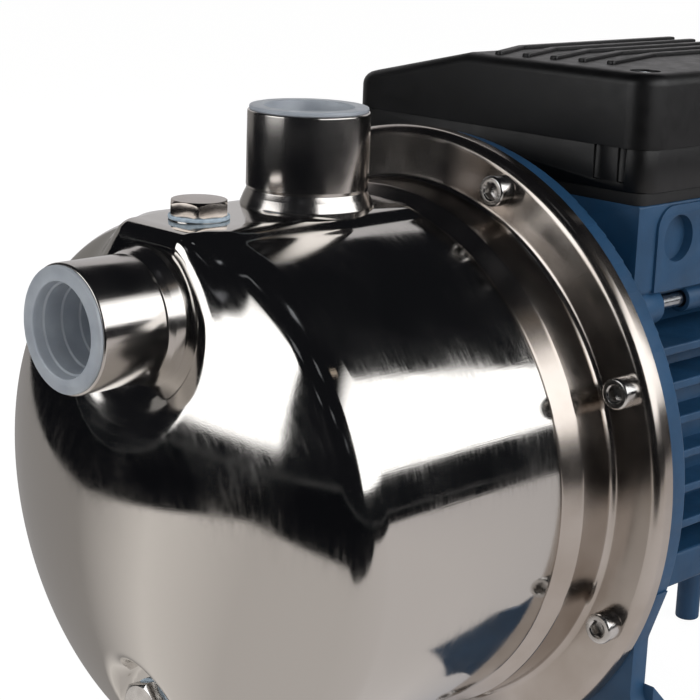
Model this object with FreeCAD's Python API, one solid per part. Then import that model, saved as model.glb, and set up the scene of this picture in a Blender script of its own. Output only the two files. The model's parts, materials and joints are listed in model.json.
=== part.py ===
"""Shallow well jet pump: a pressed stainless casing with its ejector, impeller and
shaft seal, bolted to a cast bracket that carries a finned electric motor.

Millimetres. The pieces are drawn about the shaft: the shaft lies along Y at x = 0,
z = 0, the pump end faces -Y, and the bolting face of the casing flange is y = 0.
Every piece is then moved together, so that the origin is the centre of the two
base bolts on the underside of the foot, with +Z up.
"""
import FreeCAD, Part
import math
import os

Vec = FreeCAD.Vector
X_AXIS = Vec(1, 0, 0)
Y_AXIS = Vec(0, 1, 0)
Z_AXIS = Vec(0, 0, 1)

# Whole machine
shaft_height = 116.0
foot_bolt_y = 32.0
slip = 0.02

# Casing: a dished head, a cylinder, a step and a bolting flange
sheet = 2.0
body_radius = 88.0
port_neck = 1.4
head_start_y = -96.0
head_depth = 32.0
knuckle_radius = 12.0
step_radius = 91.0
step_front_y = -20.2
step_rear_y = -14.7
flange_radius = 109.0
skirt_end_y = 7.0
flange_corner = 3.5
deck_z = 88.0
deck_half_width = 21.5
deck_front_y = -104.0
deck_rear_y = -24.0
pad_face_y = -115.5
pad_half_width = 32.0

# Ports with G1 female pipe threads
port_radius = 19.5
port_bore_radius = 15.15
suction_z = 60.5
suction_mouth_y = -143.8
delivery_y = -50.2
delivery_mouth_z = 118.0
cap_flange_radius = 18.9
cap_flange = 1.3
cap_depth = 20.0
cap_radius = 15.05

# Filling and drain plugs, G1/4
plug_radius = 6.6
plug_flats = 17.0
plug_head = 4.6
plug_washer = 1.3
plug_washer_radius = 9.4
plug_turn = 20.0
plug_neck = 2.4
filling_y = -94.4
drain_z = -68.0
drain_face_y = -109.5
drain_pocket_radius = 15.5

# Casing screws, M6 socket heads
screw_count = 8
screw_circle_radius = 101.2
screw_phase = 22.5
m6_radius = 3.0
m6_head_radius = 5.0
m6_head = 6.4
m6_socket = 5.0
m6_length = 16.0

# Hydraulics
impeller_radius = 62.0
impeller_back_y = -26.0
impeller_front_y = -38.0
eye_radius = 21.0
blade_count = 6
blade_thickness = 2.2
blade_sweep_radius = 46.0
blade_centre_x = 23.0
blade_centre_z = -40.0
vane_count = 8
diffuser_radius = 79.0
diffuser_wall_y = -48.0
venturi_throat = 6.0
venturi_front_y = -97.0
nozzle_bore = 4.2

# Shaft, bearings and seal
seal_shaft_radius = 7.0
bearing_bore = 8.5
bearing_outer = 20.0
bearing_width = 12.0
ball_count = 8
ball_radius = 3.2
ball_circle = 14.25
ball_phase = 22.5
front_bearing_y = 17.0
rear_bearing_y = 160.0
pocket_floor_y = 174.0
shaft_front_y = -59.0
shaft_rear_y = 224.0

# Bracket and foot
bracket_radius = 107.0
bracket_front_y = 4.0
bracket_rear_y = 17.0
leg_half_width = 98.0
shoulder_half_width = 105.0
foot_front_y = 8.0
foot_rear_y = 54.0
foot_thickness = 10.0
foot_bolt_spacing = 160.0
foot_bolt_hole_radius = 5.0

# Motor
barrel_radius = 60.0
stator_bore = 56.0
stack_front_y = 50.0
stack_rear_y = 130.0
housing_front_y = 25.0
housing_rear_y = 175.0
fin_tip_x = 69.0
fin_pitch = 13.2
fin_count = 6
fin_top_z = 39.0
under_fin_count = 5
under_fin_pitch = 14.0
under_fin_z = -66.0
rail_top_z = -41.0
rail_bottom_z = -53.5
rail_x = 66.0
tie_rod_x = 60.0
tie_rod_upper_z = 52.0
tie_rod_lower_x = 58.0
tie_rod_lower_z = -47.2
tie_rod_radius = 2.5
pedestal_front_y = 38.0
pedestal_rear_y = 158.0
pedestal_half_width = 65.0
knock_out_y = 59.5
knock_out_z = 75.5
knock_out_radius = 8.0
shield_rear_y = 189.0
ear_rear_y = 181.0
cowl_radius = 66.0
cowl_rear_y = 236.0
fan_blade_count = 8
support_leg_y = 182.0
support_leg_radius = 5.0
support_leg_top_z = -70.0
rod_ear_end_y = 54.0
rod_rib_start_y = 71.0
gland_y = 76.0
gland_z = 76.0
cowl_screw_turns = (45, 135, 225, 315)

# Terminal box
box_front_y = 36.5
box_rear_y = 162.0
box_left_x = -70.0
box_right_x = 67.0
gasket_top_z = 92.0
box_split_z = 106.5
lid_top_z = 131.0
lid_slope_x = -14.0
lid_left_z = 118.0
box_wall = 2.5
lid_screw_inset = 11.0
lid_seat_depth = 3.2
rib_count = 5
rib_pitch = 9.8
rib_width = 3.0
rib_height = 1.2


def polar(radius, degrees):
    angle = math.radians(degrees)
    return radius * math.cos(angle), radius * math.sin(angle)


def rounded_wire(corners, place):
    """A closed wire through (u, v, corner radius) points, with tangent arcs at the corners."""
    count = len(corners)
    starts = []
    for index, (u, v, radius) in enumerate(corners):
        here = Vec(u, v, 0)
        before = Vec(corners[index - 1][0], corners[index - 1][1], 0)
        after = Vec(corners[(index + 1) % count][0], corners[(index + 1) % count][1], 0)
        inward = (before - here).normalize()
        outward = (after - here).normalize()
        if radius <= 0:
            starts.append((here, None, here))
            continue
        half = inward.getAngle(outward) / 2
        reach = radius / math.tan(half)
        bisector = (inward + outward).normalize()
        centre = here + bisector * (radius / math.sin(half))
        starts.append((here + inward * reach, centre - bisector * radius, here + outward * reach))
    edges = []
    for index, (enter, middle, leave) in enumerate(starts):
        if middle is not None:
            edges.append(Part.Arc(place(enter), place(middle), place(leave)).toShape())
        following = starts[(index + 1) % count][0]
        if leave.distanceToPoint(following) > 1e-6:
            edges.append(Part.LineSegment(place(leave), place(following)).toShape())
    return Part.Wire(edges)


def in_xy(point):
    return Vec(point.x, point.y, 0)


def in_xz(point):
    return Vec(point.x, 0, point.y)


def in_yz(point):
    return Vec(0, point.x, point.y)


def spun(corners):
    """A solid of revolution about the shaft, from (radius, y) or (radius, y, corner) points."""
    full = [tuple(corner) + (0,) * (3 - len(corner)) for corner in corners]
    face = Part.Face(rounded_wire(full, in_xy))
    return face.revolve(Vec(0, 0, 0), Y_AXIS, 360)


def spun_at(corners, x, z):
    shape = spun(corners)
    shape.translate(Vec(x, 0, z))
    return shape


def upright(corners, x, y):
    """A solid of revolution about a vertical axis at (x, y), from (radius, z) points."""
    shape = spun(corners)
    shape.rotate(Vec(0, 0, 0), X_AXIS, 90)
    shape.translate(Vec(x, y, 0))
    return shape


def along_y(corners, start, end):
    full = [tuple(corner) + (0,) * (3 - len(corner)) for corner in corners]
    face = Part.Face(rounded_wire(full, in_xz))
    face.translate(Vec(0, start, 0))
    return face.extrude(Vec(0, end - start, 0))


def along_x(corners, start, end):
    full = [tuple(corner) + (0,) * (3 - len(corner)) for corner in corners]
    face = Part.Face(rounded_wire(full, in_yz))
    face.translate(Vec(start, 0, 0))
    return face.extrude(Vec(end - start, 0, 0))


def along_z(corners, start, end):
    full = [tuple(corner) + (0,) * (3 - len(corner)) for corner in corners]
    face = Part.Face(rounded_wire(full, in_xy))
    face.translate(Vec(0, 0, start))
    return face.extrude(Vec(0, 0, end - start))


def rectangle(left, low, right, high, corner=0):
    return [(left, low, corner), (right, low, corner), (right, high, corner), (left, high, corner)]


def rod(radius, start, end, x=0.0, z=0.0):
    return Part.makeCylinder(radius, end - start, Vec(x, start, z), Y_AXIS)


def post(radius, low, high, x, y):
    return Part.makeCylinder(radius, high - low, Vec(x, y, low), Z_AXIS)


def tube(outer, inner, start, end, x=0.0, z=0.0):
    return rod(outer, start, end, x, z).cut(rod(inner, start - 1, end + 1, x, z))


def hexagon(flats, turn=30.0):
    radius = flats / math.sqrt(3)
    return [polar(radius, turn + 60 * index) for index in range(6)]


def ring_of(shape, count, phase):
    """Copies of a shape around the shaft."""
    copies = []
    for index in range(count):
        copy = shape.copy()
        copy.rotate(Vec(0, 0, 0), Y_AXIS, phase + 360.0 * index / count)
        copies.append(copy)
    return copies


def crown_radius(radius, depth, knuckle):
    """The crown of a dished head that meets its knuckle on one tangent."""
    return (depth ** 2 + (radius - knuckle) ** 2 - knuckle ** 2) / (2 * (depth - knuckle))


# Casing

def head_outline(inset):
    """The dished head and cylinder, shrunk by inset, as edges from the axis to the rim."""
    radius = body_radius - inset
    depth = head_depth - inset
    knuckle = knuckle_radius - inset
    crown = crown_radius(radius, depth, knuckle)
    apex_y = head_start_y - depth
    crown_y = apex_y + crown
    knuckle_x = radius - knuckle
    lean = math.atan2(knuckle_x, crown_y - head_start_y)
    join = Vec(crown * math.sin(lean), crown_y - crown * math.cos(lean), 0)
    mid = Vec(crown * math.sin(lean / 2), crown_y - crown * math.cos(lean / 2), 0)
    half = (lean + math.pi / 2) / 2
    bend = Vec(knuckle_x + knuckle * math.sin(half), head_start_y - knuckle * math.cos(half), 0)
    rim = Vec(radius, head_start_y, 0)
    return [
        Part.Arc(Vec(0, apex_y, 0), mid, join).toShape(),
        Part.Arc(join, bend, rim).toShape(),
    ]


def casing_form(inset):
    """The casing as a solid: inset 0 is its outside, inset = sheet is its cavity."""
    radius = body_radius - inset
    end_y = step_front_y + inset * 0.3
    edges = head_outline(inset)
    edges.append(Part.LineSegment(Vec(radius, head_start_y, 0), Vec(radius, end_y, 0)).toShape())
    edges.append(Part.LineSegment(Vec(radius, end_y, 0), Vec(0, end_y, 0)).toShape())
    edges.append(Part.LineSegment(Vec(0, end_y, 0), edges[0].Vertexes[0].Point).toShape())
    form = Part.Face(Part.Wire(edges)).revolve(Vec(0, 0, 0), Y_AXIS, 360)

    top = deck_z - inset
    half = deck_half_width - inset * 0.4
    deck = along_y([
        (-half - 5, 60), (half + 5, 60), (half + 5, top - 9, 6), (half, top, 2.5),
        (-half, top, 2.5), (-half - 5, top - 9, 6),
    ], deck_front_y + inset, deck_rear_y - inset)

    wide = pad_half_width - inset
    boss = along_y([
        (-14 + inset, 34), (14 - inset, 34), (wide, 58, 22 - inset), (half, top, 14 - inset),
        (-half, top, 14 - inset), (-wide, 58, 22 - inset),
    ], -70, pad_face_y + inset)
    front = [edge for edge in boss.Edges
             if all(abs(v.Y - (pad_face_y + inset)) < 1e-6 for v in edge.Vertexes)]
    boss = boss.makeFillet(7.0 - inset, front)
    return form.fuse([deck, boss])


def pad_recess(inset):
    """The flat pressed into the head around the suction port, which its lower half sinks into."""
    radius = port_radius + 5 + inset
    floor = pad_face_y + inset
    return spun_at([
        (0, floor), (radius, floor, 3), (radius + 14, floor - 16), (0, floor - 16),
    ], 0, suction_z)


def drain_recess(inset):
    radius = drain_pocket_radius - 2.5 + inset
    floor = drain_face_y + inset
    return spun_at([
        (0, floor), (radius, floor, 2), (radius + 6, floor - 14), (0, floor - 14),
    ], 0, drain_z)


def pump_body():
    outside = casing_form(0).cut([pad_recess(0), drain_recess(0)])
    cavity = casing_form(sheet).cut([pad_recess(sheet), drain_recess(sheet)])
    inner = body_radius - sheet
    rim = step_radius - sheet
    skirt = flange_radius - sheet
    flange = spun([
        (inner, step_front_y - 4), (body_radius, step_front_y - 4), (body_radius - 0.8, step_front_y, 2),
        (step_radius, step_rear_y, 2), (step_radius, 0, 2.2), (flange_radius, 0, flange_corner),
        (flange_radius, skirt_end_y), (skirt, skirt_end_y), (skirt, sheet, flange_corner - sheet),
        (rim, sheet, 1), (rim, step_rear_y + 0.5, 1), (inner, step_front_y + 1.5, 1),
    ])
    screw_hole = rod(m6_radius + 0.4, -2, sheet + 2, screw_circle_radius)
    port_hole = port_bore_radius + port_neck
    plug_hole = plug_radius + plug_neck
    holes = [
        rod(port_hole, -130, -100, 0, suction_z), post(port_hole, deck_z - 10, deck_z + 5, 0, delivery_y),
        post(plug_hole, deck_z - 10, deck_z + 5, 0, filling_y), rod(plug_hole, -130, -100, 0, drain_z),
    ]
    shell = outside.cut(cavity).fuse(flange)
    return shell.cut(holes + ring_of(screw_hole, screw_count, screw_phase)).removeSplitter()


def port_socket(height):
    """A threaded port standing on z = 0, with its spigot through the sheet below."""
    spigot = port_bore_radius + port_neck - slip
    collar = port_radius + 1.1
    return upright([
        (port_bore_radius, -sheet - 1), (spigot, -sheet - 1), (spigot, 0), (collar, 0, 0.8), (collar, 3, 1),
        (port_radius - 0.4, 5, 0.8), (port_radius, 6.5, 0.4), (port_radius, height, 0.6),
        (port_bore_radius + 1, height, 0.3), (port_bore_radius, height - 1.5),
    ], 0, 0)


def suction_socket():
    shape = port_socket(pad_face_y - suction_mouth_y)
    shape.rotate(Vec(0, 0, 0), X_AXIS, 90)
    shape.translate(Vec(0, pad_face_y, suction_z))
    return shape


def delivery_socket():
    shape = port_socket(delivery_mouth_z - deck_z)
    shape.translate(Vec(0, delivery_y, deck_z))
    return shape


def thread_cap():
    """A moulded cap standing on z = 0: a thin flange and a stepped cup that fills the thread."""
    skirt = cap_radius - 0.2
    floor = -cap_depth + 1.6
    corners = [
        (0, -cap_depth), (cap_radius - 1, -cap_depth, 0.8), (skirt, -cap_depth + 3), (skirt, 0),
        (cap_flange_radius, 0), (cap_flange_radius, cap_flange, 0.4), (cap_radius - 0.9, cap_flange, 0.3),
    ]
    for step, depth in enumerate((2.0, 8.0, 14.0)):
        wall = cap_radius - 1.1 - 0.7 * step
        corners += [(wall, -depth), (wall - 0.6, -depth - 0.4)]
    corners += [(cap_radius - 3.2, floor, 1), (0, floor)]
    return upright(corners, 0, 0)


def suction_thread_cap():
    shape = thread_cap()
    shape.rotate(Vec(0, 0, 0), X_AXIS, 90)
    shape.translate(Vec(0, suction_mouth_y, suction_z))
    return shape


def delivery_thread_cap():
    shape = thread_cap()
    shape.translate(Vec(0, delivery_y, delivery_mouth_z))
    return shape


def plug_bush(collar, collar_top):
    """The threaded bush welded through the sheet, its top face at z = 0."""
    spigot = plug_radius + plug_neck - slip
    return upright([
        (plug_radius, -9), (collar, -9), (collar, collar_top), (spigot, collar_top), (spigot, 0),
        (plug_radius, 0),
    ], 0, 0)


def sealing_washer():
    return upright([
        (plug_radius, 0), (plug_washer_radius, 0, 0.4), (plug_washer_radius, plug_washer, 0.4),
        (plug_radius, plug_washer),
    ], 0, 0)


def hex_plug():
    """A hexagon plug over its washer, which lies on z = 0, with a chamfered and dished top."""
    low = plug_washer
    top = low + plug_head
    across = plug_flats / 2
    stem_radius = plug_radius - 0.1
    stem = upright([
        (0, -8), (stem_radius - 1.1, -8), (stem_radius, -6.8), (stem_radius, low), (0, low),
    ], 0, 0)
    head = along_z(hexagon(plug_flats, plug_turn), low, top)
    round_off = upright([
        (0, low), (across + 0.4, low), (across + 2, low + 1), (across + 2, top - 1), (across - 0.4, top),
        (0, top),
    ], 0, 0)
    dish = upright([(0, top - 0.6), (5, top - 0.6), (6, top), (0, top)], 0, 0)
    return stem.fuse(head.common(round_off)).cut(dish).removeSplitter()


def on_deck(shape):
    shape.translate(Vec(0, filling_y, deck_z))
    return shape


def on_drain_pad(shape):
    shape.rotate(Vec(0, 0, 0), X_AXIS, 90)
    shape.translate(Vec(0, drain_face_y, drain_z))
    return shape


def socket_screw():
    """One M6 socket head cap screw, its seat at y = 0 and its head towards -Y."""
    body = spun([
        (0, -m6_head), (m6_head_radius, -m6_head, 0.6), (m6_head_radius, 0, 0.2), (m6_radius, 0),
        (m6_radius, m6_length, 0.8), (0, m6_length),
    ])
    socket = along_y(hexagon(m6_socket, 0), -m6_head, -m6_head + 3.2)
    bevel = spun([(0, -m6_head), (2.9, -m6_head), (2.5, -m6_head + 0.5), (0, -m6_head + 0.5)])
    return body.cut([socket, bevel])


def body_screws():
    screw = socket_screw()
    screw.translate(Vec(screw_circle_radius, 0, 0))
    return Part.makeCompound(ring_of(screw, screw_count, screw_phase))


def body_o_ring():
    cord = 2.45
    return Part.makeTorus(86.5, cord, Vec(0, sheet - cord - slip, 0), Y_AXIS)


# Seal plate, shaft seal and hydraulics

register_outer = 84.0
web_y = -20.0


def back_plate():
    rear = bracket_front_y
    rim = bracket_radius - 2
    plate = spun([
        (13, -10), (25, -10), (25, web_y), (register_outer, web_y, 2.5), (register_outer, sheet, 1),
        (rim, sheet), (rim, rear), (register_outer - sheet, rear, 1),
        (register_outer - sheet, web_y + sheet, 1),
        (27, web_y + sheet, 1), (27, -8), (16, -8), (16, -3), (13, -3),
    ])
    screw_hole = rod(m6_radius + 0.4, 0, rear + 2, screw_circle_radius)
    return plate.cut(ring_of(screw_hole, screw_count, screw_phase))


def seal_seat():
    return spun([(8.2, -10, 0.2), (11, -10, 0.2), (11, -9), (13 - slip, -9), (13 - slip, -3), (8.2, -3)])


def seal_rotating_face():
    bore = seal_shaft_radius + slip
    return spun([(bore, -14), (11, -14), (11, -11.5), (10, -10.02), (8.4, -10.02), (bore, -11.5)])


def helix_spring(radius, wire, start, end, turns):
    path = Part.makeHelix((end - start) / turns, end - start, radius)
    path.rotate(Vec(0, 0, 0), X_AXIS, -90)
    path.translate(Vec(0, start, 0))
    first = path.Edges[0]
    point = first.valueAt(first.FirstParameter)
    tangent = first.tangentAt(first.FirstParameter)
    section = Part.Wire(Part.makeCircle(wire, point, tangent))
    return Part.Wire(path.Edges).makePipeShell([section], True, True)


def seal_spring():
    return helix_spring(9.6, 0.8, -25.0, -15.0, 4)


def impeller():
    """A closed impeller: two shrouds, an eye ring, a keyed hub and swept blades between them."""
    bore = seal_shaft_radius + slip
    rim = impeller_radius
    hub = spun([(bore, -50), (10.5, -50, 1), (13, -40, 6), (13, impeller_back_y), (bore, impeller_back_y)])
    back = spun([
        (12, impeller_back_y - 2), (rim, impeller_back_y - 2), (rim, impeller_back_y), (12, impeller_back_y),
    ])
    front = spun([
        (eye_radius, -52), (eye_radius + 2, -52), (eye_radius + 2, -43, 3), (rim, impeller_front_y),
        (rim, impeller_front_y + 1.8), (eye_radius + 1.6, -41, 4), (eye_radius, -42),
    ])
    passage = spun([
        (11, impeller_back_y - 1), (11, -44), (eye_radius + 0.8, -44), (eye_radius + 1.5, -42),
        (rim - 0.2, impeller_front_y + 1), (rim - 0.2, impeller_back_y - 1),
    ])
    outer_face = blade_sweep_radius + blade_thickness / 2
    inner_face = blade_sweep_radius - blade_thickness / 2
    blade = tube(outer_face, inner_face, -52, -26, blade_centre_x, blade_centre_z)
    one_side = along_y([(14, 0), (14, 22), (90, 60), (90, -30), (40, -12)], -53, -25)
    blades = ring_of(blade.common(one_side).common(passage), blade_count, 0)
    keyway = Part.makeBox(5, 26, 3, Vec(-2.5, -51, seal_shaft_radius - 1))
    return hub.fuse([back, front] + blades).cut(keyway).removeSplitter()


def shaft_key():
    return Part.makeBox(4.96, 16, 5, Vec(-2.48, -47, seal_shaft_radius - 3.0))


def impeller_nut():
    nut = along_y(hexagon(17, 0), -58, -50 - slip)
    rounded = spun([(0, -58), (8.6, -58), (10.2, -57), (10.2, -50 - slip), (0, -50 - slip)])
    return nut.common(rounded).cut(rod(5 + slip, -60, -49))


def diffuser():
    """A disc with a neck for the venturi and the eye, and guide vanes that seat on the seal plate."""
    wall = diffuser_wall_y - 3
    front = wall - 8
    neck = eye_radius + 2.5
    disc = spun([
        (neck, front + 3), (eye_radius + 6, front + 3, 1), (eye_radius + 7, wall, 3),
        (diffuser_radius, wall, 1), (diffuser_radius, diffuser_wall_y), (neck, diffuser_wall_y),
    ])
    floor_rear = front + 3.01
    floor = spun([(14, front), (eye_radius + 6, front, 1), (eye_radius + 6, floor_rear), (14, floor_rear)])
    vane = along_y([
        (64.5, 0), (66, 1.6), (72, 11), (77.5, 15.5), (78, 13), (73, 6.5), (68, -1.5), (66, -2.5),
    ], diffuser_wall_y - 1, web_y)
    whole = disc.fuse([floor] + ring_of(vane, vane_count, 0))
    return whole.cut(rod(14 + slip, front - 1, front + 4)).removeSplitter()


def venturi_tube():
    outer = 14.0
    front = diffuser_wall_y - 11
    throat = venturi_throat
    return spun([
        (throat + 2, venturi_front_y), (throat + 4, venturi_front_y), (throat + 4.2, -76),
        (outer, front - 4, 3), (outer, front + 3), (outer - 2, front + 3), (outer - 2.2, front - 6, 20),
        (throat, -84, 20), (throat, -92, 4),
    ])


def ejector_body():
    """The moulded chamber around the nozzle, with its duct up to the suction port."""
    duct_y = -95.0
    outside = rod(20, -112, -78).fuse([
        post(15, 15, suction_z + 8, 0, duct_y), rod(16.2, -111.5, duct_y, 0, suction_z),
    ])
    inside = rod(17, -108, -80.5).fuse([
        post(12.5, 12, suction_z + 5.5, 0, duct_y), rod(13.7, -113, duct_y, 0, suction_z),
        rod(8 + slip, -113, -100), rod(venturi_throat + 4.2 + slip, -90, -77),
    ])
    return outside.cut(inside)


def ejector_nozzle():
    return spun([
        (6.5, -122), (10, -122), (10, -112 - slip), (8, -112 - slip), (8, -104), (nozzle_bore + 1.6, -98.5),
        (nozzle_bore, -98.5), (nozzle_bore + 0.6, -101), (6.5, -110),
    ])


# Shaft and bearings

def motor_shaft():
    seat = bearing_bore - slip
    front_shoulder = front_bearing_y + bearing_width
    neck = seal_shaft_radius
    core = 10.0
    shaft = spun([
        (0, shaft_front_y), (5, shaft_front_y, 0.8), (5, -50), (neck, -50), (neck, 8), (seat, 9),
        (seat, front_shoulder), (core + 0.5, front_shoulder), (core + 0.5, 44), (core, 44), (core, 136),
        (9.6, 136), (9.6, rear_bearing_y), (seat, rear_bearing_y), (seat, 176), (7.5, 177),
        (7.5, shaft_rear_y, 1), (0, shaft_rear_y),
    ])
    return shaft.cut(Part.makeBox(5, 16.1, 4, Vec(-2.5, -47.05, neck - 3)))


def shaft_slinger():
    bore = seal_shaft_radius + slip
    return spun([(bore, 2), (17, -1, 0.6), (18, -0.2), (12, 3), (12, 6), (bore, 6)])


def rotor_core():
    bore = 10 + slip
    return spun([(bore, 46), (29, 46, 1), (31.5, 50), (31.5, 130), (29, 134, 1), (bore, 134)])


def bearing_outer_ring(start):
    end = start + bearing_width
    middle = start + bearing_width / 2
    ring = spun([
        (16.6, start), (bearing_outer - slip, start, 0.6), (bearing_outer - slip, end, 0.6), (16.6, end),
    ])
    return ring.cut(Part.makeTorus(ball_circle, ball_radius + 0.2, Vec(0, middle, 0), Y_AXIS))


def bearing_inner_ring(start):
    end = start + bearing_width
    middle = start + bearing_width / 2
    ring = spun([
        (bearing_bore, start, 0.6), (11.9, start), (11.9, end), (bearing_bore, end, 0.6),
    ])
    return ring.cut(Part.makeTorus(ball_circle, ball_radius + 0.2, Vec(0, middle, 0), Y_AXIS))


def bearing_balls(start):
    middle = start + bearing_width / 2
    balls = []
    for index in range(ball_count):
        x, z = polar(ball_circle, ball_phase + 360.0 * index / ball_count)
        balls.append(Part.makeSphere(ball_radius, Vec(x, middle, z)))
    return Part.makeCompound(balls)


def bearing_cage(start):
    """The pressed ring that spaces the balls, with a round pocket for each."""
    middle = start + bearing_width / 2
    ribbon = tube(ball_circle + 0.7, ball_circle - 0.7, middle - 4.6, middle + 4.6)
    pocket = Part.makeCylinder(ball_radius + 0.05, 4, Vec(ball_circle - 2, middle, 0), X_AXIS)
    return ribbon.cut(ring_of(pocket, ball_count, ball_phase))


def wave_spring():
    """A washer with three waves that preloads the rear bearing against its pocket."""
    thickness = 0.6
    middle = (rear_bearing_y + bearing_width + pocket_floor_y - thickness) / 2
    height = (pocket_floor_y - rear_bearing_y - bearing_width - thickness) / 2 - slip
    rims = []
    for radius in (16.2, 19.3):
        points = []
        for degrees in range(0, 360, 10):
            x, z = polar(radius, degrees)
            points.append(Vec(x, middle + height * math.sin(math.radians(3 * degrees)), z))
        curve = Part.BSplineCurve()
        curve.interpolate(points, PeriodicFlag=True)
        rims.append(curve.toShape())
    return Part.makeRuledSurface(rims[0], rims[1]).extrude(Vec(0, thickness, 0))


# Bracket and motor

def tie_rod_places():
    return [(tie_rod_x, tie_rod_upper_z), (-tie_rod_x, tie_rod_upper_z),
            (tie_rod_lower_x, tie_rod_lower_z), (-tie_rod_lower_x, tie_rod_lower_z)]


def beside(side, near, far, low, high, corner=0):
    """A rectangle on the +X side (side = 1) or its mirror on the -X side (side = -1)."""
    if side > 0:
        return rectangle(near, low, far, high, corner)
    return rectangle(-far, low, -near, high, corner)


def bracket_base():
    """The foot's floor plate, its rear corners rounded in plan, with four sloping gussets."""
    floor_z = -shaft_height
    half = shoulder_half_width
    pieces = [along_z([
        (-half, foot_front_y), (half, foot_front_y), (half, foot_rear_y, 6), (-half, foot_rear_y, 6),
    ], floor_z, floor_z + foot_thickness)]
    low = floor_z + 5
    rear = foot_rear_y - 4
    near = bracket_rear_y - 2
    for side in (-1, 1):
        for offset in (64.0, 99.0):
            middle = side * offset
            pieces.append(along_x([
                (near, low), (rear, low), (rear, low + 7, 3), (near + 8, -70, 12), (near, -62),
            ], middle - 3, middle + 3))
    return pieces


def motor_bracket():
    """The cast ring, its web and bearing hub, two legs and the base they stand on."""
    floor_z = -shaft_height
    rim = bracket_radius - slip
    front_seat = front_bearing_y - slip
    ring = spun([
        (register_outer - 4, bracket_front_y), (rim, bracket_front_y, 0.6), (rim, bracket_rear_y, 1.5),
        (register_outer - 2, bracket_rear_y, 1.5), (register_outer - 2, 14, 2), (36, 14, 4), (28, 31, 2),
        (bearing_outer, 31), (bearing_outer, front_seat), (13, front_seat), (13, 8), (register_outer - 4, 8),
    ])
    spigot = tube(barrel_radius + 4, 50, 13, housing_front_y)
    register = tube(stator_bore - slip, 50, 13, housing_front_y + 5)
    leg = leg_half_width
    shoulder = shoulder_half_width
    plate = along_y([
        (-104, -28), (-leg, -46, 6), (-leg, -66, 7), (-shoulder, -75, 5), (-shoulder, floor_z),
        (shoulder, floor_z), (shoulder, -75, 5), (leg, -66, 7), (leg, -46, 6), (104, -28),
    ], foot_front_y, bracket_rear_y - 1.5)
    arch = along_y([
        (-62, floor_z - 1), (-62, -106, 10), (-40, -92, 24), (40, -92, 24), (62, -106, 10), (62, floor_z - 1),
    ], 0, 60)
    legs = plate.fuse(bracket_base()).cut([arch, rod(register_outer - 3, 0, 40)])
    bosses = []
    feet_holes = []
    for side in (-1, 1):
        bosses.append(rod(6.5, 13, 31, side * tie_rod_x, tie_rod_upper_z))
        bosses.append(along_y(beside(side, 50, rail_x, rail_bottom_z, rail_top_z, 1.5), 13, 31))
        bolt_x = side * foot_bolt_spacing / 2
        feet_holes.append(post(foot_bolt_hole_radius, floor_z - 1, floor_z + 20, bolt_x, foot_bolt_y))
    rod_holes = [rod(tie_rod_radius, 18, 32, x, z) for x, z in tie_rod_places()]
    screw_holes = ring_of(rod(m6_radius, 2, 18, screw_circle_radius), screw_count, screw_phase)
    whole = ring.fuse([spigot, register, legs] + bosses)
    return whole.cut(rod_holes + feet_holes + screw_holes).removeSplitter()


def stator_core():
    return tube(stator_bore - slip, 32.2, stack_front_y, stack_rear_y)


def stator_winding(start, end):
    return spun([(36, start, 4), (52, start, 4), (52, end, 4), (36, end, 4)])


def cooling_fins():
    front = housing_front_y + 6
    rear = housing_rear_y - 3
    fin_root = 30
    fins = []
    for side in (-1, 1):
        root_x = side * fin_root
        tip_x = side * fin_tip_x
        for index in range(fin_count):
            top = fin_top_z - fin_pitch * index
            low = top - 3.2
            fins.append(along_y([
                (root_x, top + 1.2), (tip_x, top, 0.8), (tip_x, low, 0.8), (root_x, low - 1.2),
            ], front, rear))
        rail = beside(side, fin_root, rail_x, rail_bottom_z, rail_top_z, 1.5)
        fins.append(along_y(rail, front, housing_rear_y))
    for index in range(under_fin_count):
        x = under_fin_pitch * (index - (under_fin_count - 1) / 2)
        under = [(x - 1.8, -40), (x + 1.8, -40), (x + 1.4, under_fin_z, 0.8), (x - 1.4, under_fin_z, 0.8)]
        fins.append(along_y(under, front, rear))
    return fins


def tie_rod_ribs():
    """The bosses, long ribs and webs that hold the upper tie rods against the barrel."""
    ribs = []
    for side in (-1, 1):
        x = side * tie_rod_x
        ribs.append(rod(6.5, pedestal_front_y, rod_ear_end_y, x, tie_rod_upper_z))
        ribs.append(rod(4.6, rod_rib_start_y, housing_rear_y, x, tie_rod_upper_z))
        front_web = beside(side, 40, 58, tie_rod_upper_z - 5, tie_rod_upper_z + 5)
        long_web = beside(side, 40, 58, tie_rod_upper_z - 3, tie_rod_upper_z + 3)
        ribs.append(along_y(front_web, pedestal_front_y, rod_ear_end_y))
        ribs.append(along_y(long_web, rod_rib_start_y, housing_rear_y))
    return ribs


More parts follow.
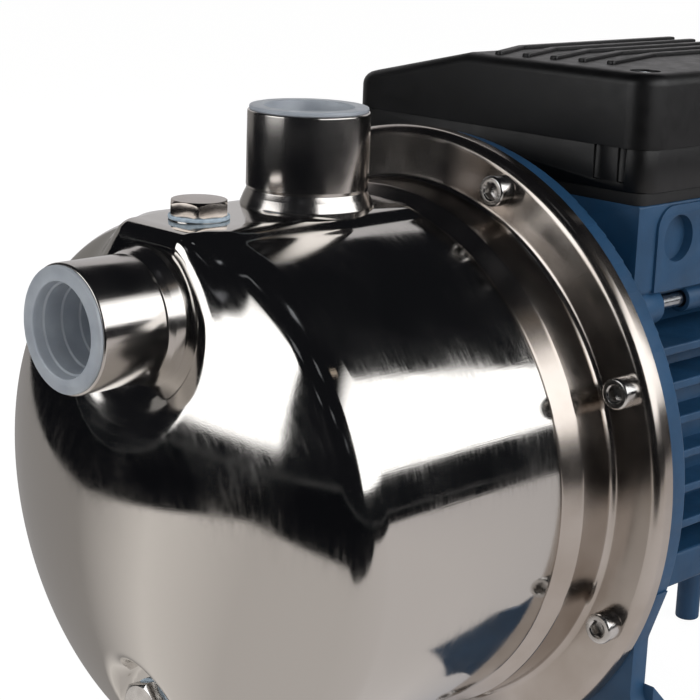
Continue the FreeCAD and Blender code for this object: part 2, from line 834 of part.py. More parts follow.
def motor_housing():
    """The finned barrel, its side rails and the pedestal that carries the terminal box."""
    half = pedestal_half_width
    barrel = rod(barrel_radius, housing_front_y, housing_rear_y)
    pedestal = along_y([
        (-half, 58, 3), (-46, 46), (46, 46), (half, 58, 3), (half, deck_z, 1), (-half, deck_z, 1),
    ], pedestal_front_y, pedestal_rear_y)
    panel_rear = pedestal_rear_y - 10
    panel = along_x([(48, 58), (48, 87, 8), (panel_rear, 87, 8), (panel_rear, 58)], half - 1, half + 1)
    whole = barrel.fuse(cooling_fins() + tie_rod_ribs() + [pedestal, panel])
    hollow = rectangle(-half + 8, pedestal_front_y + 8, half - 8, pedestal_rear_y - 8, 6)
    holes = [
        rod(stator_bore, housing_front_y - 1, housing_rear_y + 1), along_z(hollow, 66, deck_z + 1),
        post(9, 50, 80, 0, 90),
        Part.makeCylinder(knock_out_radius, 5, Vec(half - 2.5, knock_out_y, knock_out_z), X_AXIS),
        Part.makeCylinder(8 + slip, 20, Vec(-half - 5, gland_y, gland_z), X_AXIS),
    ]
    holes += [rod(tie_rod_radius + 0.6, 0, 200, x, z) for x, z in tie_rod_places()]
    return whole.cut(holes).removeSplitter()


def tie_rods():
    end = shield_rear_y + 3
    return Part.makeCompound([rod(tie_rod_radius, 18.5, end, x, z) for x, z in tie_rod_places()])


def tie_rod_nuts():
    nuts = []
    for x, z in tie_rod_places():
        nut = along_y(hexagon(8, 0), ear_rear_y, ear_rear_y + 4).cut(rod(tie_rod_radius, 180, 186))
        nut.translate(Vec(x, 0, z))
        nuts.append(nut)
    return Part.makeCompound(nuts)


def rear_end_shield():
    """The cast rear cover: bearing pocket, spigot in the barrel and ears for the tie rods."""
    floor = pocket_floor_y + slip
    rear = housing_rear_y
    register = stator_bore - slip
    cover = spun([
        (10, 176), (12, floor), (bearing_outer, floor), (bearing_outer, 158), (24, 158, 1), (26, 172, 4),
        (50, 172), (50, 169), (register, 169), (register, rear), (62, rear), (62, shield_rear_y),
        (58, shield_rear_y), (58, 178, 3), (10, 178),
    ])
    additions = [post(6.5, support_leg_top_z, -55, 0, support_leg_y)]
    holes = [rod(58, 178, 200), post(3, support_leg_top_z - 1, -60, 0, support_leg_y)] + cowl_screw_holes()
    for x, z in tie_rod_places():
        across = Vec(-z, x, 0) * 0.06
        outer = Vec(x, z, 0)
        inner = outer * 0.72
        ends = (inner + across, outer + across, outer - across, inner - across)
        web = [(point.x, point.y) for point in ends]
        additions.append(rod(6.2, rear, ear_rear_y, x, z))
        additions.append(along_y(web, rear, ear_rear_y))
        holes.append(rod(tie_rod_radius + 0.3, 170, 190, x, z))
    return cover.fuse(additions).cut(holes).removeSplitter()


def rear_support_leg():
    top = support_leg_top_z - slip
    spigot = 3 - slip
    return upright([
        (0, -shaft_height), (support_leg_radius, -shaft_height, 1), (support_leg_radius, top), (spigot, top),
        (spigot, -61), (0, -61),
    ], 0, support_leg_y)


def cooling_fan():
    """A moulded radial fan: a clamping hub, a dished disc and straight tapered blades."""
    bore = 7.5 + slip
    hub = spun([(bore, 196), (13, 196, 1), (12, 218, 1), (bore, 218)])
    disc = spun([(12, 198), (30, 200), (54, 200), (54, 201.8), (30, 202), (12, 200.5)])
    corner = along_z([(40, 224), (56, 224), (56, 214)], -5, 5)
    blade = Part.makeBox(43, 20, 2, Vec(11, 200, -1)).cut(corner)
    return hub.fuse([disc] + ring_of(blade, fan_blade_count, 0)).cut(rod(bore, 190, 230)).removeSplitter()


def fan_cowl():
    """A pressed cowl with a slotted rear wall."""
    front = shield_rear_y - 6
    inner = 62 + slip
    wall = cowl_radius - 2
    cup = spun([
        (inner, front), (cowl_radius, front), (cowl_radius, cowl_rear_y, 8), (0, cowl_rear_y),
        (0, cowl_rear_y - 2), (wall, cowl_rear_y - 2, 6), (wall, shield_rear_y), (inner, shield_rear_y),
    ])
    slots = []
    for radius, half_angle in ((20, 22), (30, 24), (40, 25), (50, 26)):
        ring = tube(radius + 2.2, radius - 2.2, cowl_rear_y - 4, cowl_rear_y + 1)
        x, z = polar(90, half_angle)
        wedge = along_y([(0, 0), (x, -z), (x, z)], cowl_rear_y - 5, cowl_rear_y + 2)
        slots += ring_of(ring.common(wedge), 6, 0)
    clear_leg = post(6.5 + slip, -80, -50, 0, support_leg_y)
    return cup.cut(slots + [clear_leg] + cowl_screw_holes())


def cowl_screw_holes():
    holes = []
    for turn in cowl_screw_turns:
        hole = post(2 + slip, 50, 80, 0, shield_rear_y - 3)
        hole.rotate(Vec(0, 0, 0), Y_AXIS, turn)
        holes.append(hole)
    return holes


def cowl_screws():
    screws = []
    seat = cowl_radius
    for turn in cowl_screw_turns:
        screw = upright([
            (0, 58.5), (2, 58.5), (2, seat), (4, seat), (4, seat + 1, 0.6), (2.6, seat + 2.2, 1),
            (0, seat + 2.2),
        ], 0, shield_rear_y - 3)
        screw.rotate(Vec(0, 0, 0), Y_AXIS, turn)
        screws.append(screw)
    return Part.makeCompound(screws)


# Terminal box

def lid_screw_places():
    left = lid_slope_x - 12
    right = box_right_x - lid_screw_inset
    near = box_front_y + lid_screw_inset
    far = box_rear_y - lid_screw_inset
    return [(left, near), (right, near), (left, far), (right, far)]


def box_plan(inset, corner):
    """The box outline seen from above, shrunk by inset."""
    return rectangle(box_left_x + inset, box_front_y + inset, box_right_x - inset, box_rear_y - inset, corner)


def box_gasket():
    half = pedestal_half_width
    front = pedestal_front_y
    rear = pedestal_rear_y
    outer = along_z(rectangle(-half, front, half, rear, 4), deck_z, gasket_top_z)
    inner = along_z(rectangle(-half + 8, front + 8, half - 8, rear - 8, 4), deck_z - 1, gasket_top_z + 1)
    return outer.cut(inner)


def terminal_box_base():
    floor = gasket_top_z + box_wall
    outer = along_z(box_plan(1, 8), gasket_top_z, box_split_z)
    inner = along_z(box_plan(1 + box_wall, 6), floor, box_split_z + 1)
    lead_hole = along_z(rectangle(2, 62, 28, 110, 5), gasket_top_z - 1, gasket_top_z + 5)
    pillars = [post(5, gasket_top_z, box_split_z, x, y) for x, y in lid_screw_places()]
    cuts = [post(1.5, gasket_top_z + 3, box_split_z + 1, x, y) for x, y in lid_screw_places()]
    for x in (box_right_x - 22, box_right_x - 12):
        notch = rectangle(x, box_front_y, x + 3, box_front_y + 2)
        cuts.append(along_z(notch, gasket_top_z + 3, box_split_z))
    return outer.cut([inner, lead_hole]).fuse(pillars).cut(cuts).removeSplitter()


def lid_gasket():
    inset = box_wall + 1
    outer = along_z(box_plan(inset, 6), box_split_z - 1.6, box_split_z)
    inner = along_z(box_plan(inset + 2, 4), box_split_z - 3, box_split_z + 1)
    holes = [post(5 + slip, box_split_z - 3, box_split_z + 1, x, y) for x, y in lid_screw_places()]
    return outer.cut([inner] + holes)


def lid_form(inset, low):
    section = along_y([
        (box_left_x + inset, low), (box_right_x - inset, low), (box_right_x - inset, lid_top_z - inset, 2.5),
        (lid_slope_x, lid_top_z - inset, 14), (box_left_x + inset, lid_left_z - inset, 4),
    ], box_front_y - 1, box_rear_y + 1)
    return section.common(along_z(box_plan(inset, 8), low, lid_top_z + 1))


def lid_ribs():
    """Raised ribs, each with a slanted front run that bends to follow the box."""
    rear = box_rear_y - 3
    ribs = []
    for index in range(rib_count):
        x = -5 + rib_pitch * index
        y = box_front_y + 5.5 + 2.9 * index
        bend_x = x - 11.5
        bend_y = y + 25.5 + 3.2 * index
        ribs.append(along_z([
            (x, y, 1), (x + rib_width, y, 1), (bend_x + rib_width, bend_y, 4),
            (bend_x + rib_width, rear, 1), (bend_x, rear, 1), (bend_x, bend_y, 4),
        ], lid_top_z - 0.5, lid_top_z + rib_height))
    return ribs


def terminal_box_lid():
    """The moulded lid: flat top, sloping left end, hooked ribs and sunk screw seats."""
    shell = lid_form(0, box_split_z).cut(lid_form(box_wall, box_split_z - 1))
    pillars = [post(5, box_split_z, lid_top_z - 2, x, y) for x, y in lid_screw_places()]
    seats = [post(4.2, lid_top_z - lid_seat_depth, lid_top_z + 3, x, y) for x, y in lid_screw_places()]
    holes = [post(2.2, 100, lid_top_z + 3, x, y) for x, y in lid_screw_places()]
    return shell.fuse(pillars + lid_ribs()).cut(seats + holes).removeSplitter()


def lid_screws():
    seat = lid_top_z - lid_seat_depth
    tip = box_split_z - 8
    screws = []
    for x, y in lid_screw_places():
        screw = upright([
            (0, tip), (1.5, tip), (1.5, seat), (3.8, seat), (3.8, seat + 1, 0.5), (2.4, seat + 2.6, 1),
            (0, seat + 2.6),
        ], x, y)
        cross = Part.makeBox(0.9, 4.2, 1.6, Vec(x - 0.45, y - 2.1, seat + 1.4))
        other = Part.makeBox(4.2, 0.9, 1.6, Vec(x - 2.1, y - 0.45, seat + 1.4))
        screws.append(screw.cut([cross, other]))
    return Part.makeCompound(screws)


def terminal_board():
    floor = gasket_top_z + box_wall
    base = along_z(rectangle(34, 60, 60, 108, 2), floor, floor + 8)
    posts = [post(2, floor + 7, floor + 15, 47, 66 + 12 * index) for index in range(4)]
    return base.fuse(posts)


def capacitor():
    radius = 11.5
    axis_z = gasket_top_z + box_wall + radius
    can = Part.makeCylinder(radius, 60, Vec(-56, 86, axis_z), X_AXIS)
    ends = [edge for edge in can.Edges if edge.Curve.TypeId == "Part::GeomCircle"]
    return can.makeFillet(1.5, ends)


def cable_gland():
    """The hollow gland for the supply cable, in the pedestal wall on the far side."""
    gland = spun([
        (5.2, 0), (8, 0), (8, -9), (10.6, -9, 0.6), (10.6, -14), (9.6, -14), (9.6, -16), (10, -16),
        (10, -22, 2), (6.8, -28, 1), (5.2, -28),
    ])
    nut = along_y(hexagon(20, 0), -13.6, -9.0).cut(rod(7, -20, 0))
    gland = gland.fuse(nut)
    gland.rotate(Vec(0, 0, 0), Z_AXIS, -90)
    gland.translate(Vec(9 - pedestal_half_width, gland_y, gland_z))
    return gland


nodes = {
    "pump_body": pump_body(),
    "suction_socket": suction_socket(),
    "delivery_socket": delivery_socket(),
    "suction_thread_cap": suction_thread_cap(),
    "delivery_thread_cap": delivery_thread_cap(),
    "filling_bush": on_deck(plug_bush(plug_radius + 5, -sheet)),
    "filling_washer": on_deck(sealing_washer()),
    "filling_plug": on_deck(hex_plug()),
    "drain_bush": on_drain_pad(plug_bush(plug_radius + 2.8, -5)),
    "drain_washer": on_drain_pad(sealing_washer()),
    "drain_plug": on_drain_pad(hex_plug()),
    "body_screws": body_screws(),
    "body_o_ring": body_o_ring(),
    "back_plate": back_plate(),
    "seal_seat": seal_seat(),
    "seal_rotating_face": seal_rotating_face(),
    "seal_spring": seal_spring(),
    "impeller": impeller(),
    "shaft_key": shaft_key(),
    "impeller_nut": impeller_nut(),
    "diffuser": diffuser(),
    "venturi_tube": venturi_tube(),
    "ejector_body": ejector_body(),
    "ejector_nozzle": ejector_nozzle(),
    "motor_shaft": motor_shaft(),
    "shaft_slinger": shaft_slinger(),
    "rotor_core": rotor_core(),
    "front_bearing_outer": bearing_outer_ring(front_bearing_y),
    "front_bearing_inner": bearing_inner_ring(front_bearing_y),
    "front_bearing_balls": bearing_balls(front_bearing_y),
    "front_bearing_cage": bearing_cage(front_bearing_y),
    "rear_bearing_outer": bearing_outer_ring(rear_bearing_y),
    "rear_bearing_inner": bearing_inner_ring(rear_bearing_y),
    "rear_bearing_balls": bearing_balls(rear_bearing_y),
    "rear_bearing_cage": bearing_cage(rear_bearing_y),
    "wave_spring": wave_spring(),
    "motor_bracket": motor_bracket(),
    "stator_core": stator_core(),
    "front_winding": stator_winding(36, stack_front_y - slip),
    "rear_winding": stator_winding(stack_rear_y + slip, 144),
    "motor_housing": motor_housing(),
    "tie_rods": tie_rods(),
    "tie_rod_nuts": tie_rod_nuts(),
    "rear_end_shield": rear_end_shield(),
    "rear_support_leg": rear_support_leg(),
    "cooling_fan": cooling_fan(),
    "fan_cowl": fan_cowl(),
    "cowl_screws": cowl_screws(),
    "box_gasket": box_gasket(),
    "terminal_box_base": terminal_box_base(),
    "lid_gasket": lid_gasket(),
    "terminal_box_lid": terminal_box_lid(),
    "lid_screws": lid_screws(),
    "terminal_board": terminal_board(),
    "capacitor": capacitor(),
    "cable_gland": cable_gland(),
}

os.makedirs("parts", exist_ok=True)
for name, shape in nodes.items():
    shape.translate(Vec(0, -foot_bolt_y, shaft_height))
    shape.exportStep("parts/" + name + ".step")
    box = shape.BoundBox
    print(f"{name:22s} solids {len(shape.Solids)} valid {shape.isValid()} volume {shape.Volume:10.0f} "
          f"x {box.XMin:7.1f} {box.XMax:7.1f} y {box.YMin:7.1f} {box.YMax:7.1f} "
          f"z {box.ZMin:7.1f} {box.ZMax:7.1f}")
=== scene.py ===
import json
from math import atan2, cos, pi, radians, sin, tan

import bpy
import numpy as np
from mathutils import Matrix, Vector


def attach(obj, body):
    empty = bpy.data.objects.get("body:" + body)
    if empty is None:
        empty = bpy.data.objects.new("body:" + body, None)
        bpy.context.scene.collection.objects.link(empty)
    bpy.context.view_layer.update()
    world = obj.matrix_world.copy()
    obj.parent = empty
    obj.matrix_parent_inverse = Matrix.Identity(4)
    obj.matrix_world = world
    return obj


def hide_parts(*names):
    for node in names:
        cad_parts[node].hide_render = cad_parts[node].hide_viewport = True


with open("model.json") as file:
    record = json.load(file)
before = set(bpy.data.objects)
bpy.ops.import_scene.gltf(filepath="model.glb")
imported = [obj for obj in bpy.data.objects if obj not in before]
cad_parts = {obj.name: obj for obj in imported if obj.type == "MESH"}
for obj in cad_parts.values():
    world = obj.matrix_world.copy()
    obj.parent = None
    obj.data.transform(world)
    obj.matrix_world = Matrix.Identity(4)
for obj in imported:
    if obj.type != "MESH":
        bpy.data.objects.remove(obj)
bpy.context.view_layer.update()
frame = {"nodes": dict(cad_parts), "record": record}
cadNodes = frame["nodes"]
print("frame loaded:", len(cadNodes), "nodes")

# sizes are in shaft millimetres: shaft along Y at x = 0, z = 0, casing flange face at y = 0
shaftHeight = 116.0
footBoltY = 32.0
photoWidth = 700


def fromShaft(x, y, z):
    return Vector((x, y - footBoltY, z + shaftHeight)) / 1000


# camera first, solved from the photograph
cameraSet = {
    "place": (418.205, -440.020, 189.923),
    "right": (0.69448522, 0.71866689, 0.03475877),
    "up": (-0.20548088, 0.15180623, 0.96681564),
    "back": (0.68954179, -0.67858144, 0.25309949),
    "focalPixels": 1817.727,
}

bpy.ops.object.select_all(action="DESELECT")
bpy.ops.object.camera_add()
camera = bpy.context.object
camera.name = "photoCamera"
axes = Matrix((cameraSet["right"], cameraSet["up"], cameraSet["back"])).transposed()
camera.matrix_world = Matrix.Translation(fromShaft(*cameraSet["place"])) @ axes.to_4x4()
camera.data.sensor_width = 36
camera.data.lens = 36 * cameraSet["focalPixels"] / photoWidth
camera.data.clip_start = 0.01
camera.data.clip_end = 60
bpy.context.scene.camera = camera
print("camera placed, lens", round(camera.data.lens, 2))


# modelling tools

def startClean():
    if bpy.context.mode != "OBJECT":
        bpy.ops.object.mode_set(mode="OBJECT")
    bpy.ops.object.select_all(action="DESELECT")


def pick(piece):
    startClean()
    piece.select_set(True)
    bpy.context.view_layer.objects.active = piece


def withCorners(outline, stepAngle=12):
    # corners given as (u, v, radius) turn into short arcs
    points = []
    count = len(outline)
    for index, corner in enumerate(outline):
        here = Vector(corner[:2])
        radius = corner[2] if len(corner) > 2 else 0
        if radius <= 0:
            points.append(here)
            continue
        inward = (Vector(outline[index - 1][:2]) - here).normalized()
        outward = (Vector(outline[(index + 1) % count][:2]) - here).normalized()
        half = inward.angle(outward) / 2
        centre = here + (inward + outward).normalized() * radius / sin(half)
        first = here + inward * radius / tan(half) - centre
        last = here + outward * radius / tan(half) - centre
        begin = atan2(first.y, first.x)
        sweep = (atan2(last.y, last.x) - begin + pi) % (2 * pi) - pi
        steps = max(3, round(abs(sweep) / radians(stepAngle)))
        for step in range(steps + 1):
            angle = begin + sweep * step / steps
            points.append(centre + Vector((cos(angle), sin(angle))) * radius)
    return points


def outlineLoop(name, points, flat, fill="NOTHING"):
    startClean()
    bpy.ops.mesh.primitive_circle_add(vertices=len(points), radius=1, fill_type=fill)
    piece = bpy.context.object
    piece.name = name
    for vertex, point in zip(piece.data.vertices, points):
        vertex.co = flat(point.x / 1000, point.y / 1000)
    return piece


def tidyMesh():
    bpy.ops.mesh.select_all(action="SELECT")
    bpy.ops.mesh.remove_doubles(threshold=2e-6)
    bpy.ops.mesh.delete_loose()
    bpy.ops.mesh.select_all(action="SELECT")
    bpy.ops.mesh.normals_make_consistent(inside=False)
    bpy.ops.object.mode_set(mode="OBJECT")


def turned(name, outline, steps=96):
    # a half section in (radius, height) spun about Z
    piece = outlineLoop(name, withCorners(outline), lambda u, v: (u, 0, v))
    bpy.ops.object.mode_set(mode="EDIT")
    bpy.ops.mesh.select_all(action="SELECT")
    bpy.ops.mesh.spin(steps=steps, angle=2 * pi, center=(0, 0, 0), axis=(0, 0, 1))
    tidyMesh()
    return piece


def prism(name, outline, low, high):
    # an outline in (x, y) pulled up from low to high
    piece = outlineLoop(name, withCorners(outline), lambda u, v: (u, v, low / 1000), "NGON")
    bpy.ops.object.mode_set(mode="EDIT")
    bpy.ops.mesh.select_all(action="SELECT")
    bpy.ops.mesh.extrude_region_move(TRANSFORM_OT_translate={"value": (0, 0, (high - low) / 1000)})
    tidyMesh()
    return piece


def setDown(piece, x, y, z, tilt=0, turn=0):
    # tilt is about X, turn is about the piece's own upright axis before that
    pick(piece)
    piece.matrix_world = Matrix.Translation(fromShaft(x, y, z)) @ Matrix.Rotation(radians(tilt), 4, "X") \
        @ Matrix.Rotation(radians(turn), 4, "Z")
    bpy.ops.object.transform_apply(location=True, rotation=True, scale=True)
    return piece


def applyModifier(piece, kind, settings):
    pick(piece)
    modifier = piece.modifiers.new("shape", kind)
    for key, value in settings.items():
        setattr(modifier, key, value)
    bpy.ops.object.modifier_apply(modifier=modifier.name)


def combine(piece, other, operation):
    applyModifier(piece, "BOOLEAN", {"object": other, "operation": operation, "solver": "EXACT"})
    bpy.data.objects.remove(other)


def smooth(piece, angle=35):
    pick(piece)
    bpy.ops.object.shade_smooth_by_angle(angle=radians(angle))


def copyPiece(piece, name):
    other = piece.copy()
    other.data = piece.data.copy()
    other.name = name
    bpy.context.scene.collection.objects.link(other)
    return other


# materials

def linearColour(code):
    channels = [int(code[i:i + 2], 16) / 255 for i in (1, 3, 5)]
    return [c / 12.92 if c <= 0.04045 else ((c + 0.055) / 1.055) ** 2.4 for c in channels] + [1]


def perMetre(millimetres):
    return 1000 / millimetres


def addNode(tree, kind, settings={}, links={}):
    node = tree.nodes.new("ShaderNode" + kind)
    for key, value in settings.items():
        if isinstance(key, int) or key in node.inputs:
            node.inputs[key].default_value = value
        else:
            setattr(node, key, value)
    for key, source in links.items():
        tree.links.new(source, node.inputs[key])
    return node


def startMaterial(name, settings):
    material = bpy.data.materials.new(name)
    material.use_nodes = True
    shader = material.node_tree.nodes["Principled BSDF"]
    for key, value in settings.items():
        shader.inputs[key].default_value = linearColour(value) if isinstance(value, str) else value
    return material, material.node_tree, shader


def placeCoordinates(tree, stretch=(1, 1, 1)):
    place = addNode(tree, "TexCoord")
    return addNode(tree, "Mapping", {"Scale": stretch}, {"Vector": place.outputs["Object"]}).outputs["Vector"]


def colourDrift(tree, shader, coordinates, grain, dark, light):
    # slow change of colour over the surface
    noise = addNode(tree, "TexNoise", {"Scale": perMetre(grain), "Detail": 4.0}, {"Vector": coordinates})
    ramp = addNode(tree, "ValToRGB", {}, {"Fac": noise.outputs["Fac"]})
    ramp.color_ramp.elements[0].position = 0.35
    ramp.color_ramp.elements[0].color = linearColour(dark)
    ramp.color_ramp.elements[1].position = 0.65
    ramp.color_ramp.elements[1].color = linearColour(light)
    tree.links.new(ramp.outputs["Color"], shader.inputs["Base Color"])


def roughnessDrift(tree, shader, coordinates, grain, low, high):
    noise = addNode(tree, "TexNoise", {"Scale": perMetre(grain), "Detail": 5.0}, {"Vector": coordinates})
    spread = addNode(tree, "MapRange", {"From Min": 0.3, "From Max": 0.7, "To Min": low, "To Max": high},
                     {"Value": noise.outputs["Fac"]})
    tree.links.new(spread.outputs["Result"], shader.inputs["Roughness"])


def grainBump(tree, shader, coordinates, grain, depth, before=None):
    # grain and depth in millimetres
    noise = addNode(tree, "TexNoise", {"Scale": perMetre(grain), "Detail": 3.0, "Roughness": 0.6},
                    {"Vector": coordinates})
    links = {"Height": noise.outputs["Fac"]}
    if before is not None:
        links["Normal"] = before.outputs["Normal"]
    bump = addNode(tree, "Bump", {"Strength": 1.0, "Distance": depth / 1000}, links)
    tree.links.new(bump.outputs["Normal"], shader.inputs["Normal"])
    return bump


materials = {}


def mirrorSteel():
    # deep-drawn stainless sheet, mirror buffed: slow waves of the press, hazy scratches,
    # and faint brush marks along the shaft
    material, tree, shader = startMaterial("polishedStainless", {
        "Base Color": "#cbc8c4", "Metallic": 1.0, "Roughness": 0.035,
    })
    spot = placeCoordinates(tree)
    smear = placeCoordinates(tree, (1, 12, 1))
    haze = addNode(tree, "TexNoise", {"Scale": perMetre(24), "Detail": 6.0}, {"Vector": spot})
    scratch = addNode(tree, "TexNoise", {"Scale": perMetre(9), "Detail": 8.0, "Roughness": 0.75},
                      {"Vector": smear})
    both = addNode(tree, "Math", {"operation": "MULTIPLY"},
                   {0: haze.outputs["Fac"], 1: scratch.outputs["Fac"]})
    spread = addNode(tree, "MapRange", {"From Min": 0.18, "From Max": 0.4, "To Min": 0.05, "To Max": 0.17},
                     {"Value": both.outputs["Value"]})
    tree.links.new(spread.outputs["Result"], shader.inputs["Roughness"])
    wave = grainBump(tree, shader, spot, 45, 0.06)
    alongShaft = placeCoordinates(tree, (1, 0.04, 1))
    brush = grainBump(tree, shader, alongShaft, 0.5, 0.006, wave)
    grainBump(tree, shader, smear, 1.5, 0.0012, brush)
    return material


def turnedPipe(name, stretch):
    # turned and brushed stainless pipe: its reflections stay soft and run along the pipe
    material, tree, shader = startMaterial(name, {
        "Base Color": "#c9c5c1", "Metallic": 1.0, "Roughness": 0.16,
    })
    spot = placeCoordinates(tree)
    roughnessDrift(tree, shader, spot, 14, 0.12, 0.22)
    streak = grainBump(tree, shader, placeCoordinates(tree, stretch), 0.7, 0.012)
    grainBump(tree, shader, spot, 30, 0.03, streak)
    return material


def satinSteel():
    # cold rolled stainless, not buffed: a soft brown-grey sheen with a fine grain
    material, tree, shader = startMaterial("satinStainless", {
        "Base Color": "#b9b1aa", "Metallic": 1.0, "Roughness": 0.2,
    })
    spot = placeCoordinates(tree)
    colourDrift(tree, shader, spot, 30, "#b3aaa2", "#c4bdb7")
    roughnessDrift(tree, shader, spot, 12, 0.15, 0.24)
    grainBump(tree, shader, spot, 0.6, 0.003)
    return material


def brightSteel():
    # tumbled stainless fasteners: bright with small nicks
    material, tree, shader = startMaterial("turnedStainless", {
        "Base Color": "#cfcdcb", "Metallic": 1.0, "Roughness": 0.2,
    })
    spot = placeCoordinates(tree)
    colourDrift(tree, shader, spot, 4, "#c2c0be", "#d6d4d2")
    roughnessDrift(tree, shader, spot, 3, 0.13, 0.3)
    grainBump(tree, shader, spot, 0.8, 0.01)
    return material


def milkyPlastic():
    # injection moulded polyethylene: lets some light through, waxy, faint bluish white
    material, tree, shader = startMaterial("milkyPolyethylene", {
        "Base Color": "#b4bbc4", "Roughness": 0.34, "IOR": 1.51, "Transmission Weight": 0.35,
    })
    spot = placeCoordinates(tree)
    colourDrift(tree, shader, spot, 8, "#adb4be", "#bdc4cc")
    roughnessDrift(tree, shader, spot, 5, 0.3, 0.45)
    grainBump(tree, shader, spot, 2, 0.01)
    return material


def paleFibre():
    # pressed fibre washer, faint blue-grey, slightly fuzzy
    material, tree, shader = startMaterial("paleFibre", {"Base Color": "#a9bccb", "Roughness": 0.6})
    spot = placeCoordinates(tree)
    colourDrift(tree, shader, spot, 1.5, "#9fb2c2", "#b7c8d5")
    grainBump(tree, shader, spot, 0.4, 0.02)
    return material


def bluePaint(name, grain, depth):
    # textured enamel on cast or pressed metal: fine orange peel, semi-gloss
    material, tree, shader = startMaterial(name, {
        "Base Color": "#183f60", "Roughness": 0.48, "IOR": 1.5,
    })
    spot = placeCoordinates(tree)
    colourDrift(tree, shader, spot, 18, "#163b5a", "#1b4568")
    roughnessDrift(tree, shader, spot, 6, 0.4, 0.56)
    peel = grainBump(tree, shader, spot, grain, depth)
    grainBump(tree, shader, spot, 0.5, 0.02, peel)
    return material


def blackMoulding():
    # moulded ABS with a fine spark-eroded texture: dull black with a grey sheen
    material, tree, shader = startMaterial("blackAbs", {
        "Base Color": "#060607", "Roughness": 0.4, "IOR": 1.5,
    })
    spot = placeCoordinates(tree)
    colourDrift(tree, shader, spot, 14, "#050506", "#08080a")
    roughnessDrift(tree, shader, spot, 5, 0.36, 0.46)
    grainBump(tree, shader, spot, 0.5, 0.03)
    return material


def plainFinish(name, settings, dark, light, driftSize, grain, depth):
    material, tree, shader = startMaterial(name, {"Base Color": light, **settings})
    spot = placeCoordinates(tree)
    colourDrift(tree, shader, spot, driftSize, dark, light)
    grainBump(tree, shader, spot, grain, depth)
    return material


materials["polished_stainless"] = mirrorSteel()
materials["satin_stainless"] = satinSteel()
materials["turned_stainless"] = brightSteel()
materials["milky_polyethylene"] = milkyPlastic()
materials["pale_fibre"] = paleFibre()
materials["blue_painted_aluminium"] = bluePaint("bluePaintedAluminium", 2.2, 0.06)
materials["blue_painted_steel"] = bluePaint("bluePaintedSteel", 1.6, 0.03)
materials["black_abs"] = blackMoulding()
materials["black_rubber"] = plainFinish(
    "blackRubber", {"Roughness": 0.7}, "#111112", "#1a1a1b", 8, 0.6, 0.02)  # moulded nitrile, dull
materials["ceramic"] = plainFinish(
    "lappedCeramic", {"Roughness": 0.15}, "#e2dfd8", "#ece9e2", 5, 0.3, 0.001)
materials["carbon"] = plainFinish(
    "lappedCarbon", {"Roughness": 0.35}, "#19191a", "#242425", 3, 0.3, 0.003)
materials["brass_casting"] = plainFinish(
    "castBrass", {"Metallic": 1.0, "Roughness": 0.34}, "#b3955a", "#c9ab6c", 12, 0.8, 0.03)
materials["ground_steel"] = plainFinish(
    "groundSteel", {"Metallic": 1.0, "Roughness": 0.22}, "#b4b4b6", "#c4c4c6", 6, 0.4, 0.003)
materials["grey_technopolymer"] = plainFinish(
    "glassFilledPolymer", {"Roughness": 0.5}, "#4b4d50", "#575a5d", 10, 0.7, 0.02)
materials["electrical_steel"] = plainFinish(
    "laminatedSteel", {"Metallic": 1.0, "Roughness": 0.4}, "#8d9095", "#9ea1a6", 9, 0.5, 0.02)
materials["copper_winding"] = plainFinish(
    "varnishedCopper", {"Metallic": 1.0, "Roughness": 0.3}, "#a8592c", "#c06d3a", 4, 1.0, 0.08)
materials["zinc_plated_steel"] = plainFinish(
    "zincPlatedSteel", {"Metallic": 1.0, "Roughness": 0.25}, "#b9bcc0", "#cccfd2", 5, 0.6, 0.008)
materials["black_nylon"] = plainFinish(
    "blackNylon", {"Roughness": 0.42}, "#141415", "#1e1e20", 9, 0.7, 0.015)
materials["white_polypropylene"] = plainFinish(
    "whitePolypropylene", {"Roughness": 0.35}, "#dbdbd6", "#e6e6e1", 9, 0.9, 0.01)

nodeSlots = {part["node"]: part["material_slot"] for part in frame["record"]["subparts"]}
for nodeName, node in cadNodes.items():
    node.data.materials.clear()
    node.data.materials.append(materials[nodeSlots[nodeName]])
print("materials:", len(materials))


def dress(piece, slotName, body, *nodes):
    piece.data.materials.clear()
    piece.data.materials.append(materials[slotName])
    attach(piece, body)
    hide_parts(*nodes)


# pump body: dished head, cylinder, suction boss and deck as one pressed skin

bodySet = {
    "radius": 88.0, "headStart": -96.0, "headDepth": 32.0, "knuckle": 12.0,
    "rearY": -22.0,
    "bossCentreZ": 60.5, "bossRadius": 31.0, "bossFaceY": -115.5,
    "bossLow": 66.0, "bossHigh": 85.0, "bossEdge": (17.0, 8.5), "bossBlend": (12.0, 4.0),
    "deckHalf": 21.5, "deckTop": 88.0, "deckFloor": 30.0, "deckEdge": 5.0, "deckFrontY": -104.0,
    "deckFrontBlend": 9.0, "deckRearY": -24.0, "deckBlend": 4.0, "deckSoftness": 2.0,
    "recessRadius": 22.5, "recessFlare": 0.95, "recessCorner": 4.0, "recessBlend": 6.0,
    "drainZ": -68.0, "drainRadius": 13.5, "drainFaceY": -109.5, "drainFlare": 0.45, "drainBlend": 3.0,
    "centre": (0.0, -62.0, 12.0), "reach": 190.0, "stepsInward": 160, "stepShare": 0.8,
    "rows": (130, 32, 58), "columns": 420, "crowding": 0.62,
}


def headProfile(size):
    knuckle = size["knuckle"]
    across = size["radius"] - knuckle
    depth = size["headDepth"]
    crown = (depth ** 2 + across ** 2 - knuckle ** 2) / (2 * (depth - knuckle))
    crownY = size["headStart"] - depth + crown
    lean = atan2(across, crownY - size["headStart"])
    return crown, crownY, lean, across


def blendIn(a, b, width):
    mix = np.clip(0.5 + 0.5 * (b - a) / width, 0, 1)
    return b + (a - b) * mix - width * mix * (1 - mix)


